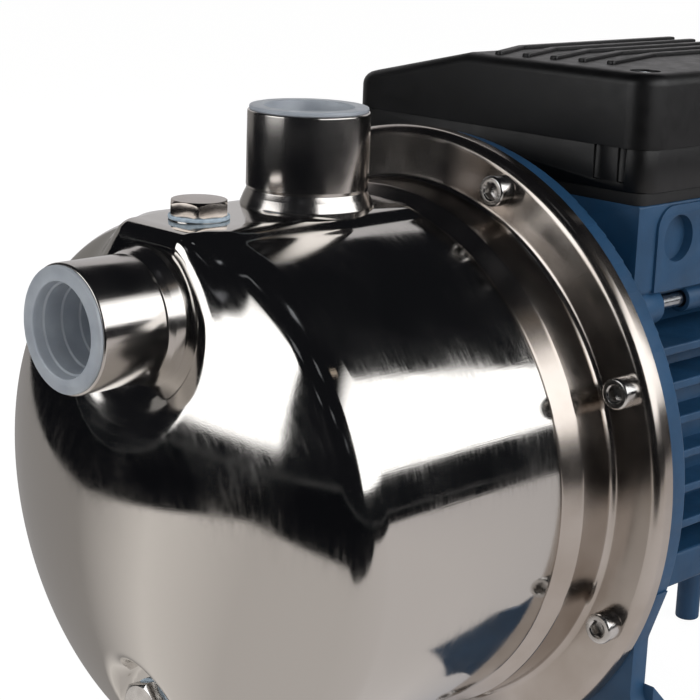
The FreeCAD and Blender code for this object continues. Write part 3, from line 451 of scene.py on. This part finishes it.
def casingDistance(points, size):
    # distance from the pressed skin: round shell, boss and deck blended in, recesses blended out
    x, y, z = points.T
    crown, crownY, lean, across = headProfile(size)
    r = np.hypot(x, z)
    ahead = y - size["headStart"]
    onCrown = np.arctan2(r, crownY - y) < lean
    dome = np.where(onCrown, np.hypot(r, y - crownY) - crown, np.hypot(r - across, ahead) - size["knuckle"])
    shell = np.where(ahead > 0, r - size["radius"], dome)

    up = z - size["bossCentreZ"]
    halfDeck = size["deckHalf"] - size["deckEdge"]
    over = z - (size["deckTop"] - size["deckEdge"])
    aside = np.abs(x) - halfDeck
    deckSection = np.hypot(np.maximum(aside, 0), np.maximum(over, 0)) \
        + np.minimum(np.maximum(aside, over), 0) - size["deckEdge"]
    deckSection = np.maximum(deckSection, size["deckFloor"] - z)
    bossSection = np.maximum(np.hypot(x, up) - size["bossRadius"], z - size["deckTop"])
    # the boss is rounded widely at its sides and more tightly under the deck
    span = (size["bossLow"], size["bossHigh"])
    edge = np.interp(z, span, size["bossEdge"])
    front = size["bossFaceY"] - y
    outA = np.maximum(bossSection + edge, 0)
    outB = np.maximum(front + edge, 0)
    boss = np.hypot(outA, outB) + np.minimum(np.maximum(bossSection, front) + edge, 0) - edge
    deckFront = size["deckFrontY"] - y
    deckBack = y - size["deckRearY"]
    deck = np.maximum(-blendIn(-deckSection, -deckFront, size["deckFrontBlend"]), deckBack)

    skin = blendIn(shell, deck, size["deckBlend"])
    skin = blendIn(skin, boss, np.interp(z, span, size["bossBlend"]))
    # the blends swell a little where the surfaces run together, so the deck is cut flat again
    skin = -blendIn(-skin, size["deckTop"] - z, size["deckSoftness"])

    around = np.hypot(x, up)
    flare = size["recessFlare"]
    wall = (around - size["recessRadius"] + flare * (y - size["bossFaceY"])) / np.hypot(1, flare)
    recess = -blendIn(-wall, size["bossFaceY"] - y, size["recessCorner"])
    skin = -blendIn(-skin, recess, size["recessBlend"])
    drainAround = np.hypot(x, z - size["drainZ"])
    drain = np.maximum(drainAround - size["drainRadius"] + size["drainFlare"] * (y - size["drainFaceY"]),
                       y - size["drainFaceY"])
    return -blendIn(-skin, drain, size["drainBlend"])


def skinPoints(size):
    # rows run from the middle of the head to the rear rim, columns go round; closer together at the boss
    crown, crownY, lean, across = headProfile(size)
    onCrown, onKnuckle, onShell = size["rows"]
    rows = []
    for step in range(onCrown + 1):
        angle = lean * step / onCrown
        rows.append((crown * sin(angle), crownY - crown * cos(angle)))
    for step in range(1, onKnuckle + 1):
        angle = lean + (pi / 2 - lean) * step / onKnuckle
        rows.append((across + size["knuckle"] * sin(angle), size["headStart"] - size["knuckle"] * cos(angle)))
    for step in range(1, onShell + 1):
        y = size["headStart"] + (size["rearY"] - size["headStart"]) * step / onShell
        rows.append((size["radius"], y))
    spread = np.linspace(-pi, pi, size["columns"] + 1)[:-1]
    turns = spread - size["crowding"] * np.sin(spread)
    profile = np.array(rows)
    base = np.stack([
        np.outer(profile[:, 0], np.sin(turns)),
        np.repeat(profile[:, 1][:, None], len(turns), axis=1),
        np.outer(profile[:, 0], np.cos(turns)),
    ], axis=-1)
    middle = np.array(size["centre"])
    away = base.reshape(-1, 3) - middle
    away /= np.linalg.norm(away, axis=1, keepdims=True)
    reach = np.full(len(away), size["reach"])
    for _ in range(size["stepsInward"]):
        reach -= size["stepShare"] * casingDistance(middle + away * reach[:, None], size)
    return (middle + away * reach[:, None]).reshape(len(rows), len(turns), 3)


def makeCasing(size):
    points = skinPoints(size)
    rows, columns = points.shape[:2]
    startClean()
    bpy.ops.mesh.primitive_grid_add(x_subdivisions=columns, y_subdivisions=rows - 1, size=1)
    piece = bpy.context.object
    piece.name = "pressedCasing"
    order = np.array([vertex.co[:] for vertex in piece.data.vertices])
    column = np.round((order[:, 0] + 0.5) * columns).astype(int) % columns
    row = np.round((order[:, 1] + 0.5) * (rows - 1)).astype(int)
    shaft = points[row, column]
    placed = (shaft + np.array([0, -footBoltY, shaftHeight])) / 1000
    piece.data.vertices.foreach_set("co", placed.ravel().astype(np.float32))
    pick(piece)
    bpy.ops.object.mode_set(mode="EDIT")
    tidyMesh()
    pick(piece)
    bpy.ops.object.shade_smooth()
    return piece


casing = makeCasing(bodySet)
dress(casing, "polished_stainless", "pump", "pump_body")
print("casing:", len(casing.data.polygons), "faces")

# bolting flange: bead, step, bolting face and rolled edge

flangeSet = {
    "outline": [
        (86.0, -26.0), (87.9, -26.0), (87.5, -20.2, 1.6), (91.0, -14.7, 2.2), (91.0, 0.0, 2.4),
        (109.0, 0.0, 3.6), (109.0, 7.0), (107.2, 7.0), (107.2, 2.0, 1.8), (89.2, 2.0, 1.0),
        (89.2, -13.4, 1.0), (86.0, -18.4, 1.0),
    ],
    "steps": 288,
}
flange = turned("boltingFlange", [(r, -y, *rest) for r, y, *rest in flangeSet["outline"]], flangeSet["steps"])
setDown(flange, 0, 0, 0, 90)
smooth(flange)
dress(flange, "satin_stainless", "pump", "pump_body")
print("flange done")

# ports, thread caps, plugs and washers

portSet = {
    "radius": 19.5, "bore": 15.15, "mouth": 16.4, "steps": 128,
    "suctionZ": 60.5, "suctionMouthY": -143.8, "suctionSeatY": -115.5,
    "deliveryY": -50.2, "deliveryMouthZ": 118.0, "deckZ": 88.0,
}


def makePort(name, height, size):
    outer, bore = size["radius"], size["bore"]
    return turned(name, [
        (bore, -6.0), (21.6, -6.0), (21.3, 0.6, 1.5), (20.2, 3.4, 2.5), (outer - 0.25, 5.3, 0.5),
        (outer, 6.3, 0.5), (outer, height, 0.7), (size["mouth"], height, 0.4), (bore, height - 1.5),
    ], size["steps"])


suction = makePort("suctionPort", portSet["suctionSeatY"] - portSet["suctionMouthY"], portSet)
setDown(suction, 0, portSet["suctionSeatY"], portSet["suctionZ"], 90)
smooth(suction)
dress(suction, "polished_stainless", "pump", "suction_socket")
suction.data.materials[0] = turnedPipe("brushedSuctionPipe", (1, 0.05, 1))
delivery = makePort("deliveryPort", portSet["deliveryMouthZ"] - portSet["deckZ"], portSet)
setDown(delivery, 0, portSet["deliveryY"], portSet["deckZ"])
smooth(delivery)
dress(delivery, "polished_stainless", "pump", "delivery_socket")
delivery.data.materials[0] = turnedPipe("brushedDeliveryPipe", (1, 1, 0.05))

capSet = {
    "outline": [
        (0, -20.0), (14.0, -20.0, 0.8), (14.8, -17.0), (14.8, 0.0), (18.9, 0.0, 0.3), (18.9, 1.3, 0.5),
        (14.3, 1.3, 0.5), (13.9, -2.0, 0.3), (13.3, -2.4, 0.2), (13.2, -8.0, 0.3), (12.6, -8.4, 0.2),
        (12.5, -14.0, 0.3), (11.9, -14.4, 0.2), (11.8, -18.4, 1.0), (0, -18.4),
    ],
}
suctionCap = turned("suctionThreadCap", capSet["outline"], portSet["steps"])
setDown(suctionCap, 0, portSet["suctionMouthY"], portSet["suctionZ"], 90)
smooth(suctionCap)
dress(suctionCap, "milky_polyethylene", "suction_cap", "suction_thread_cap")
deliveryCap = turned("deliveryThreadCap", capSet["outline"], portSet["steps"])
setDown(deliveryCap, 0, portSet["deliveryY"], portSet["deliveryMouthZ"])
smooth(deliveryCap)
dress(deliveryCap, "milky_polyethylene", "delivery_cap", "delivery_thread_cap")

plugSet = {
    "stem": 6.5, "flats": 17.0, "head": 4.6, "turn": 20.0,
    "washer": 1.3, "washerRadius": 9.4, "washerBore": 6.62,
    "fillingY": -94.4, "drainZ": -68.0, "drainY": -109.5,
}


def softenEdges(piece, width, angle):
    # a fine bevel, width in millimetres, on every edge sharper than the angle
    applyModifier(piece, "BEVEL", {
        "width": width / 1000, "segments": 2, "limit_method": "ANGLE", "angle_limit": radians(angle),
    })


def hexCorners(flats):
    radius = flats / 2 / cos(pi / 6)
    return [(radius * cos(radians(60 * k)), radius * sin(radians(60 * k))) for k in range(6)]


def makePlug(name):
    size = plugSet
    low = size["washer"]
    top = low + size["head"]
    half = size["flats"] / 2
    plug = turned(name, [
        (0, low), (half + 0.5, low, 0.2), (half + 1.4, low + 0.8), (half + 1.4, top - 1.1),
        (half - 0.2, top, 0.4), (0, top - 0.1),
    ], 96)
    cutter = prism("plugCutter", hexCorners(size["flats"]), low - 1, top + 1)
    combine(plug, cutter, "INTERSECT")
    wide = size["stem"]
    stem = turned("plugStem", [
        (0, -8), (wide - 1.1, -8, 0.3), (wide, -6.8), (wide, low + 0.3), (0, low + 0.3),
    ], 64)
    combine(plug, stem, "UNION")
    softenEdges(plug, 0.25, 40)
    smooth(plug, 40)
    return plug


def makeWasher(name):
    size = plugSet
    ring = turned(name, [
        (size["washerBore"], 0, 0.2), (size["washerRadius"], 0, 0.4),
        (size["washerRadius"], size["washer"], 0.4), (size["washerBore"], size["washer"], 0.2),
    ], 96)
    smooth(ring)
    return ring


fillingPlace = (0, plugSet["fillingY"], portSet["deckZ"])
drainPlace = (0, plugSet["drainY"], plugSet["drainZ"])
fillingPlug = setDown(makePlug("fillingHexPlug"), *fillingPlace, 0, plugSet["turn"])
dress(fillingPlug, "turned_stainless", "filling_plug", "filling_plug")
fillingPlug.data.materials[0] = materials["satin_stainless"]
fillingWasher = setDown(makeWasher("fillingSealRing"), *fillingPlace)
dress(fillingWasher, "pale_fibre", "pump", "filling_washer")
drainPlug = setDown(makePlug("drainHexPlug"), *drainPlace, 90, plugSet["turn"])
dress(drainPlug, "turned_stainless", "drain_plug", "drain_plug")
drainWasher = setDown(makeWasher("drainSealRing"), *drainPlace, 90)
dress(drainWasher, "pale_fibre", "pump", "drain_washer")
print("ports, caps and plugs done")

# eight socket head screws round the flange

screwSet = {
    "count": 8, "circle": 101.2, "phase": 22.5, "headRadius": 5.0, "head": 6.4, "thread": 3.0,
    "socket": 5.0, "depth": 3.2, "turnEach": 17,
}


def makeScrew():
    size = screwSet
    top = size["head"]
    screw = turned("flangeScrew", [
        (0, -4.0), (size["thread"], -4.0), (size["thread"], 0.0), (size["headRadius"], 0.0, 0.2),
        (size["headRadius"], top, 0.9), (3.1, top, 0.15), (2.7, top - 0.5), (0, top - 0.5),
    ], 72)
    socket = prism("socketCutter", hexCorners(size["socket"]), top - size["depth"], top + 1)
    combine(screw, socket, "DIFFERENCE")
    softenEdges(screw, 0.12, 45)
    smooth(screw, 40)
    return screw


screw = makeScrew()
for index in range(screwSet["count"]):
    angle = radians(screwSet["phase"] + 360 * index / screwSet["count"])
    one = copyPiece(screw, "flangeScrew.%d" % (index + 1))
    x, z = screwSet["circle"] * cos(angle), screwSet["circle"] * sin(angle)
    setDown(one, x, 0, z, 90, screwSet["turnEach"] * index)
    dress(one, "turned_stainless", "pump", "body_screws")
bpy.data.objects.remove(screw)
print("flange screws done")

# cast and moulded housings: the solids' own surfaces, welded, with soft edges

castSet = {
    "motor_bracket": ("castBracket", "blue_painted_aluminium", 0.9),
    "motor_housing": ("finnedHousing", "blue_painted_aluminium", 0.5),
    "rear_end_shield": ("rearShield", "blue_painted_aluminium", 0.6),
    "fan_cowl": ("fanCowl", "blue_painted_steel", 0.4),
    "terminal_box_base": ("boxBase", "black_abs", 0.5),
    "box_gasket": ("boxGasket", "black_rubber", 0.4),
    "rear_support_leg": ("supportPeg", "blue_painted_steel", 0.3),
}


def makeCast(nodeName, pieceName, slotName, edge):
    piece = copyPiece(cadNodes[nodeName], pieceName)
    piece.parent = None
    for key in list(piece.keys()):
        del piece[key]
    piece.hide_render = False
    pick(piece)
    bpy.ops.mesh.customdata_custom_splitnormals_clear()
    bpy.ops.object.mode_set(mode="EDIT")
    bpy.ops.mesh.select_all(action="SELECT")
    bpy.ops.mesh.remove_doubles(threshold=1e-6)
    bpy.ops.mesh.dissolve_limited(angle_limit=radians(0.5))
    bpy.ops.object.mode_set(mode="OBJECT")
    applyModifier(piece, "BEVEL", {
        "width": edge / 1000, "segments": 2, "limit_method": "ANGLE", "angle_limit": radians(38),
        "miter_outer": "MITER_ARC",
    })
    smooth(piece, 30)
    dress(piece, slotName, "pump", nodeName)


for nodeName, (pieceName, slotName, edge) in castSet.items():
    makeCast(nodeName, pieceName, slotName, edge)
print("castings and mouldings done")

# terminal box lid: rounded block with a sloping left end, hooked ribs and screws sunk into its corners

lidSet = {
    "front": 36.5, "rear": 162.0, "left": -70.0, "right": 67.0, "split": 106.5, "top": 131.0,
    "slopeX": -14.0, "leftTop": 118.0, "cornerRadius": 10.0, "edgeRadius": 4.0,
    "screwInset": 11.0, "leftSeatRise": 2.6, "seatRadius": 5.0, "seatDepth": 3.4,
    "headRadius": 4.3, "screwTurn": 35,
    "ribs": 5, "ribPitch": 10.0, "ribStart": (-5.0, 5.5), "ribBend": (-11.5, 25.5),
    "ribStagger": 2.9, "bendStagger": 3.2, "ribEnd": 3.0, "ribWidth": 3.2, "ribHeight": 1.2,
}


def roundEdges(piece, test, radius, segments):
    # rounds the edges whose two ends, in millimetres, pass the test
    pick(piece)
    bpy.ops.object.mode_set(mode="EDIT")
    bpy.ops.mesh.select_mode(type="EDGE")
    bpy.ops.mesh.select_all(action="DESELECT")
    bpy.ops.object.mode_set(mode="OBJECT")
    for edge in piece.data.edges:
        edge.select = test(*(piece.data.vertices[i].co * 1000 for i in edge.vertices))
    bpy.ops.object.mode_set(mode="EDIT")
    bpy.ops.mesh.bevel(offset=radius / 1000, segments=segments, affect="EDGES")
    bpy.ops.object.mode_set(mode="OBJECT")


def lidScrewPlaces(size):
    inset = size["screwInset"]
    for x in (size["left"] + inset, size["right"] - inset):
        for y in (size["front"] + inset, size["rear"] - inset):
            yield x, y, size["top"] if x > 0 else size["leftTop"] + size["leftSeatRise"]


def makeLid(size):
    outline = [(size["left"], size["split"]), (size["right"], size["split"]), (size["right"], size["top"]),
               (size["slopeX"], size["top"]), (size["left"], size["leftTop"])]
    lid = outlineLoop("boxLid", [Vector(point) for point in outline],
                      lambda u, v: (u, size["front"] / 1000, v), "NGON")
    bpy.ops.object.mode_set(mode="EDIT")
    bpy.ops.mesh.select_all(action="SELECT")
    bpy.ops.mesh.extrude_region_move(
        TRANSFORM_OT_translate={"value": (0, (size["rear"] - size["front"]) / 1000, 0)})
    tidyMesh()
    roundEdges(lid, lambda a, b: (a.xy - b.xy).length < 0.01, size["cornerRadius"], 8)
    roundEdges(lid, lambda a, b: min(a.z, b.z) > size["split"] + 1 and (a.xy - b.xy).length > 0.01
               and max(abs(a.x - size["slopeX"]), abs(b.x - size["slopeX"])) > 0.01, size["edgeRadius"], 5)
    for index in range(size["ribs"]):
        x = size["ribPitch"] * index + size["ribStart"][0]
        y = size["front"] + size["ribStart"][1] + size["ribStagger"] * index
        bendX = x + size["ribBend"][0]
        bendY = y + size["ribBend"][1] + size["bendStagger"] * index
        wide = size["ribWidth"]
        rear = size["rear"] - size["ribEnd"]
        rib = prism("lidRib", [
            (x, y, 1), (x + wide, y, 1), (bendX + wide, bendY, 4),
            (bendX + wide, rear, 1), (bendX, rear, 1), (bendX, bendY, 4),
        ], size["top"] - 0.6, size["top"] + size["ribHeight"])
        roundEdges(rib, lambda a, b: min(a.z, b.z) > size["top"] + 0.5, 0.5, 2)
        combine(lid, rib, "UNION")
    for x, y, top in lidScrewPlaces(size):
        seat = turned("screwSeat", [(0, -size["seatDepth"]), (size["seatRadius"], -size["seatDepth"], 0.4),
                                    (size["seatRadius"] + 0.4, 8), (0, 8)], 48)
        for vertex in seat.data.vertices:
            vertex.co += Vector((x, y, top)) / 1000
        combine(lid, seat, "DIFFERENCE")
    for vertex in lid.data.vertices:
        vertex.co += fromShaft(0, 0, 0)
    smooth(lid, 32)
    return lid


def makeLidScrew(size):
    head = size["headRadius"]
    screw = turned("lidScrew", [
        (0, -9), (1.5, -9), (1.5, 0), (head, 0, 0.2), (head, 1.3, 0.6),
        (head - 1.8, 2.9, 2.5), (0, 3.1),
    ], 56)
    for turn in (0, 90):
        slot = prism("crossCutter", [(-0.5, -2.3), (0.5, -2.3), (0.5, 2.3), (-0.5, 2.3)], 1.5, 4)
        setDown(slot, 0, footBoltY, -shaftHeight, 0, turn + 20)
        combine(screw, slot, "DIFFERENCE")
    softenEdges(screw, 0.12, 45)
    smooth(screw, 40)
    return screw


lid = makeLid(lidSet)
dress(lid, "black_abs", "pump", "terminal_box_lid")
lidScrew = makeLidScrew(lidSet)
for index, (x, y, top) in enumerate(lidScrewPlaces(lidSet)):
    one = copyPiece(lidScrew, "lidScrew.%d" % (index + 1))
    setDown(one, x, y, top - lidSet["seatDepth"], 0, lidSet["screwTurn"] * index)
    dress(one, nodeSlots["lid_screws"], "pump", "lid_screws")
bpy.data.objects.remove(lidScrew)
print("lid done:", len(lid.data.polygons), "faces")

# studio: white floor and world, soft lamps, and glowing cards that only reflections see: painted reflections
# of softboxes, a table, a dark floor, a dark room, walls and ceiling lights

studioSet = {  # in metres and degrees; azimuth 0 is the pump's front
    "middle": (0.03, -0.09, 0.15), "floorRadius": 30, "groundReflectionRadius": 3.9, "roomReflectionRadius": 4,
    "softboxes": {
        "rightSoftbox": {
            "azimuth": 106, "distance": 1.4, "width": 2.3, "low": 0.40, "high": 1.60, "glow": 2.2,
            "glowAzimuth": 106, "glowWidth": 2.3, "fadeLow": 0.06, "fadeHigh": 0.7,
        },
        "leftSoftbox": {
            "azimuth": -34, "distance": 1.4, "width": 1.7, "low": 0.22, "high": 0.95, "glow": 2.2,
            "glowAzimuth": -20, "glowWidth": 0.92, "fadeLow": 0.08, "fadeHigh": 0.2,
        },
        "rearSoftbox": {
            "azimuth": 215, "distance": 1.7, "width": 1.8, "low": 0.40, "high": 1.50, "glow": 1.7,
            "glowAzimuth": 215, "glowWidth": 0.0, "fadeLow": 0.08, "fadeHigh": 0.2,
        },
    },
}


def glowMaterial(name, code, strength):
    material = bpy.data.materials.new(name)
    material.use_nodes = True
    tree = material.node_tree
    tree.nodes.remove(tree.nodes["Principled BSDF"])
    glow = addNode(tree, "Emission", {"Color": linearColour(code), "Strength": strength})
    tree.links.new(glow.outputs["Emission"], tree.nodes["Material Output"].inputs["Surface"])
    return material


def onlyInReflections(card):
    card.visible_camera = False
    card.visible_diffuse = False
    card.visible_shadow = False
    card.visible_transmission = False
    card.visible_volume_scatter = False


def aim(azimuth, distance, height):
    x, y, _ = studioSet["middle"]
    return Vector((x + distance * sin(radians(azimuth)), y - distance * cos(radians(azimuth)), height))


for name, box in studioSet["softboxes"].items():
    bpy.ops.object.light_add(type="AREA")
    lamp = bpy.context.object
    lamp.name = name
    lamp.data.shape = "RECTANGLE"
    lamp.data.size = box["width"]
    lamp.data.size_y = box["high"] - box["low"]
    lamp.data.energy = box["glow"] * pi * lamp.data.size * lamp.data.size_y
    lamp.location = aim(box["azimuth"], box["distance"], (box["low"] + box["high"]) / 2)
    lamp.rotation_euler = (pi / 2, 0, radians(box["azimuth"]))
    lamp.visible_camera = False
    lamp.visible_glossy = False


def makeCard(name, corners, code, strength):
    # a flat glowing card through any number of floor or wall corners, in metres, seen only in reflections: a
    # painted reflection
    startClean()
    bpy.ops.mesh.primitive_circle_add(vertices=len(corners), radius=1, fill_type="NGON")
    card = bpy.context.object
    card.name = name
    for vertex, corner in zip(card.data.vertices, corners):
        vertex.co = corner
    card.data.materials.append(glowMaterial(name + "Tone", code, strength))
    onlyInReflections(card)
    return card


def softenCard(card, low, high, fadeLow, fadeHigh, strength):
    # the painted softbox reflection fades towards the lower and upper edge, as the diffuser of a softbox does
    tree = card.data.materials[0].node_tree
    height = addNode(tree, "SeparateXYZ", {}, {"Vector": placeCoordinates(tree)}).outputs["Z"]
    rise = addNode(tree, "MapRange", {
        "interpolation_type": "SMOOTHSTEP", "From Min": low, "From Max": low + fadeLow,
    }, {"Value": height})
    fall = addNode(tree, "MapRange", {
        "interpolation_type": "SMOOTHSTEP", "From Min": high - fadeHigh, "From Max": high,
        "To Min": strength, "To Max": 0.0,
    }, {"Value": height})
    glow = addNode(tree, "Math", {"operation": "MULTIPLY"},
                   {0: rise.outputs["Result"], 1: fall.outputs["Result"]})
    tree.links.new(glow.outputs["Value"], tree.nodes["Emission"].inputs["Strength"])


# painted softbox reflections: glowing cards only reflections see, since the lamps themselves are hidden from
# reflections
for name, box in studioSet["softboxes"].items():
    if box["glowWidth"] == 0:
        continue
    middle = aim(box["glowAzimuth"], box["distance"], 0)
    turn = radians(box["glowAzimuth"])
    side = Vector((cos(turn), sin(turn), 0)) * box["glowWidth"] / 2
    up = Vector((0, 0, 1))
    low, high = box["low"] - box["fadeLow"] / 2, box["high"] + box["fadeHigh"] / 2
    card = makeCard(name + "Glow", [
        middle - side + up * low, middle + side + up * low,
        middle + side + up * high, middle - side + up * high,
    ], "#ffffff", box["glow"])
    softenCard(card, low, high, box["fadeLow"], box["fadeHigh"], box["glow"])

# painted reflection of a table: a glowing card only reflections see, with a seam and tones that change with
# direction round a point near the pump
tableReflectionEdge = [
    (-1600, 1900), (-1600, 400), (-360, -310), (-268, -434), (-121, -611), (-42, -653), (4, -624),
    (135, -473), (220, -342), (355, -259), (498, -212), (905, -160), (1050, 900), (1050, 1900),
]
tableReflectionTones = [(0.09, "#9b9794"), (0.165, "#ebe6e1"), (0.25, "#cbc6c2"), (0.6, "#d6d1cf"), (0.72, "#a5a4a8")]
tableReflectionSeam = "#979492"
tableReflectionCard = makeCard("paintedTableReflection", [fromShaft(x, y, -115.2) for x, y in tableReflectionEdge], "#d0cdc9", 1.0)
tableReflectionTree = tableReflectionCard.data.materials[0].node_tree
tableReflectionPlace = addNode(tableReflectionTree, "TexCoord")
tableReflectionTurn = addNode(tableReflectionTree, "Mapping", {"Location": (0, 0.092, 0)},
                    {"Vector": tableReflectionPlace.outputs["Object"]})
tableReflectionRound = addNode(tableReflectionTree, "TexGradient", {"gradient_type": "RADIAL"},
                     {"Vector": tableReflectionTurn.outputs["Vector"]})
tableReflectionRamp = addNode(tableReflectionTree, "ValToRGB", {}, {"Fac": tableReflectionRound.outputs["Fac"]})
tableReflectionRamp.color_ramp.elements[0].color = linearColour(tableReflectionSeam)
tableReflectionRamp.color_ramp.elements[1].color = linearColour(tableReflectionSeam)
for place, code in tableReflectionTones:
    tableReflectionRamp.color_ramp.elements.new(place).color = linearColour(code)
tableReflectionTree.links.new(tableReflectionRamp.outputs["Color"], tableReflectionTree.nodes["Emission"].inputs["Color"])
# painted dark reflection of the floor: a dark glowing disc only reflections see
startClean()
bpy.ops.mesh.primitive_circle_add(
    vertices=64, radius=studioSet["groundReflectionRadius"], fill_type="NGON", location=(0, 0, 0.0004))
groundReflection = bpy.context.object
groundReflection.name = "darkGroundReflection"
groundReflection.data.materials.append(glowMaterial("darkGroundReflectionTone", "#101114", 1.0))
onlyInReflections(groundReflection)
# painted dark reflection of the room: a dark glowing dome round the stage that only reflections see
startClean()
bpy.ops.mesh.primitive_uv_sphere_add(segments=64, ring_count=32, radius=studioSet["roomReflectionRadius"])
roomReflection = bpy.context.object
roomReflection.name = "darkRoomReflection"
roomReflection.data.materials.append(glowMaterial("darkRoomReflectionTone", "#16171a", 1.0))
onlyInReflections(roomReflection)


def skyCard(name, azimuth, elevation, wide, tall, code, strength, distance=3.0):
    middle = Vector(studioSet["middle"])
    corners = []
    for side, rise in ((-1, -1), (1, -1), (1, 1), (-1, 1)):
        a = radians(azimuth + side * wide / 2)
        e = radians(elevation + rise * tall / 2)
        corners.append(middle + distance * Vector((sin(a) * cos(e), -cos(a) * cos(e), sin(e))))
    makeCard(name, corners, code, strength)


# painted reflections: grey and pale glowing cards for a wall, a backdrop, a ceiling lamp and strip, and small
# glints, seen only in reflections
skyCard("greyWallReflection", -108, 0, 62, 32, "#8c8a88", 1.0, 2.2)
skyCard("greyBackdropReflection", -135, 11, 96, 34, "#cbc9ca", 1.0, 2.6)
skyCard("ceilingLampReflection", 38, 73, 20, 8, "#8f9298", 1.0)
skyCard("ceilingStripReflection", 88, 52, 30, 2.2, "#b9ab9c", 1.0)
for index, (azimuth, elevation, wide, tall) in enumerate((
        (5, 35, 6, 6), (13, 22, 4, 3), (36, 45, 6, 6), (33, 26, 5, 3), (48, 21, 4, 3), (-24, 57, 12, 3))):
    skyCard("roomGlint%d" % index, azimuth, elevation, wide, tall, "#73757a", 1.0)


def seenDirectly(tree):
    # 1 for rays from the camera, a reflection or a translucent cap; 0 for rays that only light
    path = addNode(tree, "LightPath")
    either = addNode(tree, "Math", {"operation": "MAXIMUM"},
                     {0: path.outputs["Is Camera Ray"], 1: path.outputs["Is Glossy Ray"]})
    direct = addNode(tree, "Math", {"operation": "MAXIMUM"},
                     {0: either.outputs["Value"], 1: path.outputs["Is Transmission Ray"]})
    return direct.outputs["Value"]


world = bpy.data.worlds.new("paleStudio")
bpy.context.scene.world = world
world.use_nodes = True
worldTree = world.node_tree
worldStrength = addNode(worldTree, "MapRange", {"To Min": 0.45, "To Max": 1.0},
                        {"Value": seenDirectly(worldTree)})
worldTree.links.new(worldStrength.outputs["Result"], worldTree.nodes["Background"].inputs["Strength"])
worldTree.nodes["Background"].inputs["Color"].default_value = (1, 1, 1, 1)

startClean()
bpy.ops.mesh.primitive_circle_add(
    vertices=96, radius=studioSet["floorRadius"], fill_type="NGON", location=(0, 0, 0))
floor = bpy.context.object
floor.name = "whiteFloor"
bpy.ops.object.transform_apply(location=True, rotation=True, scale=True)
floorMaterial = bpy.data.materials.new("whiteFloorPaper")
floorMaterial.use_nodes = True
floorTree = floorMaterial.node_tree
paper = floorTree.nodes["Principled BSDF"]
paper.inputs["Base Color"].default_value = linearColour("#f2f1ef")
paper.inputs["Roughness"].default_value = 0.9
paper.inputs["Specular IOR Level"].default_value = 0.1
floorShare = addNode(floorTree, "Math", {"operation": "MULTIPLY", 1: 0.85}, {0: seenDirectly(floorTree)})
floorGlow = addNode(floorTree, "Emission", {"Color": (1, 1, 1, 1), "Strength": 1.1})
floorMix = addNode(floorTree, "MixShader", {}, {
    0: floorShare.outputs["Value"], 1: paper.outputs["BSDF"], 2: floorGlow.outputs["Emission"]})
floorTree.links.new(floorMix.outputs["Shader"], floorTree.nodes["Material Output"].inputs["Surface"])
floor.data.materials.append(floorMaterial)

scene = bpy.context.scene
scene.view_settings.view_transform = "Standard"
print("studio done")

startClean()
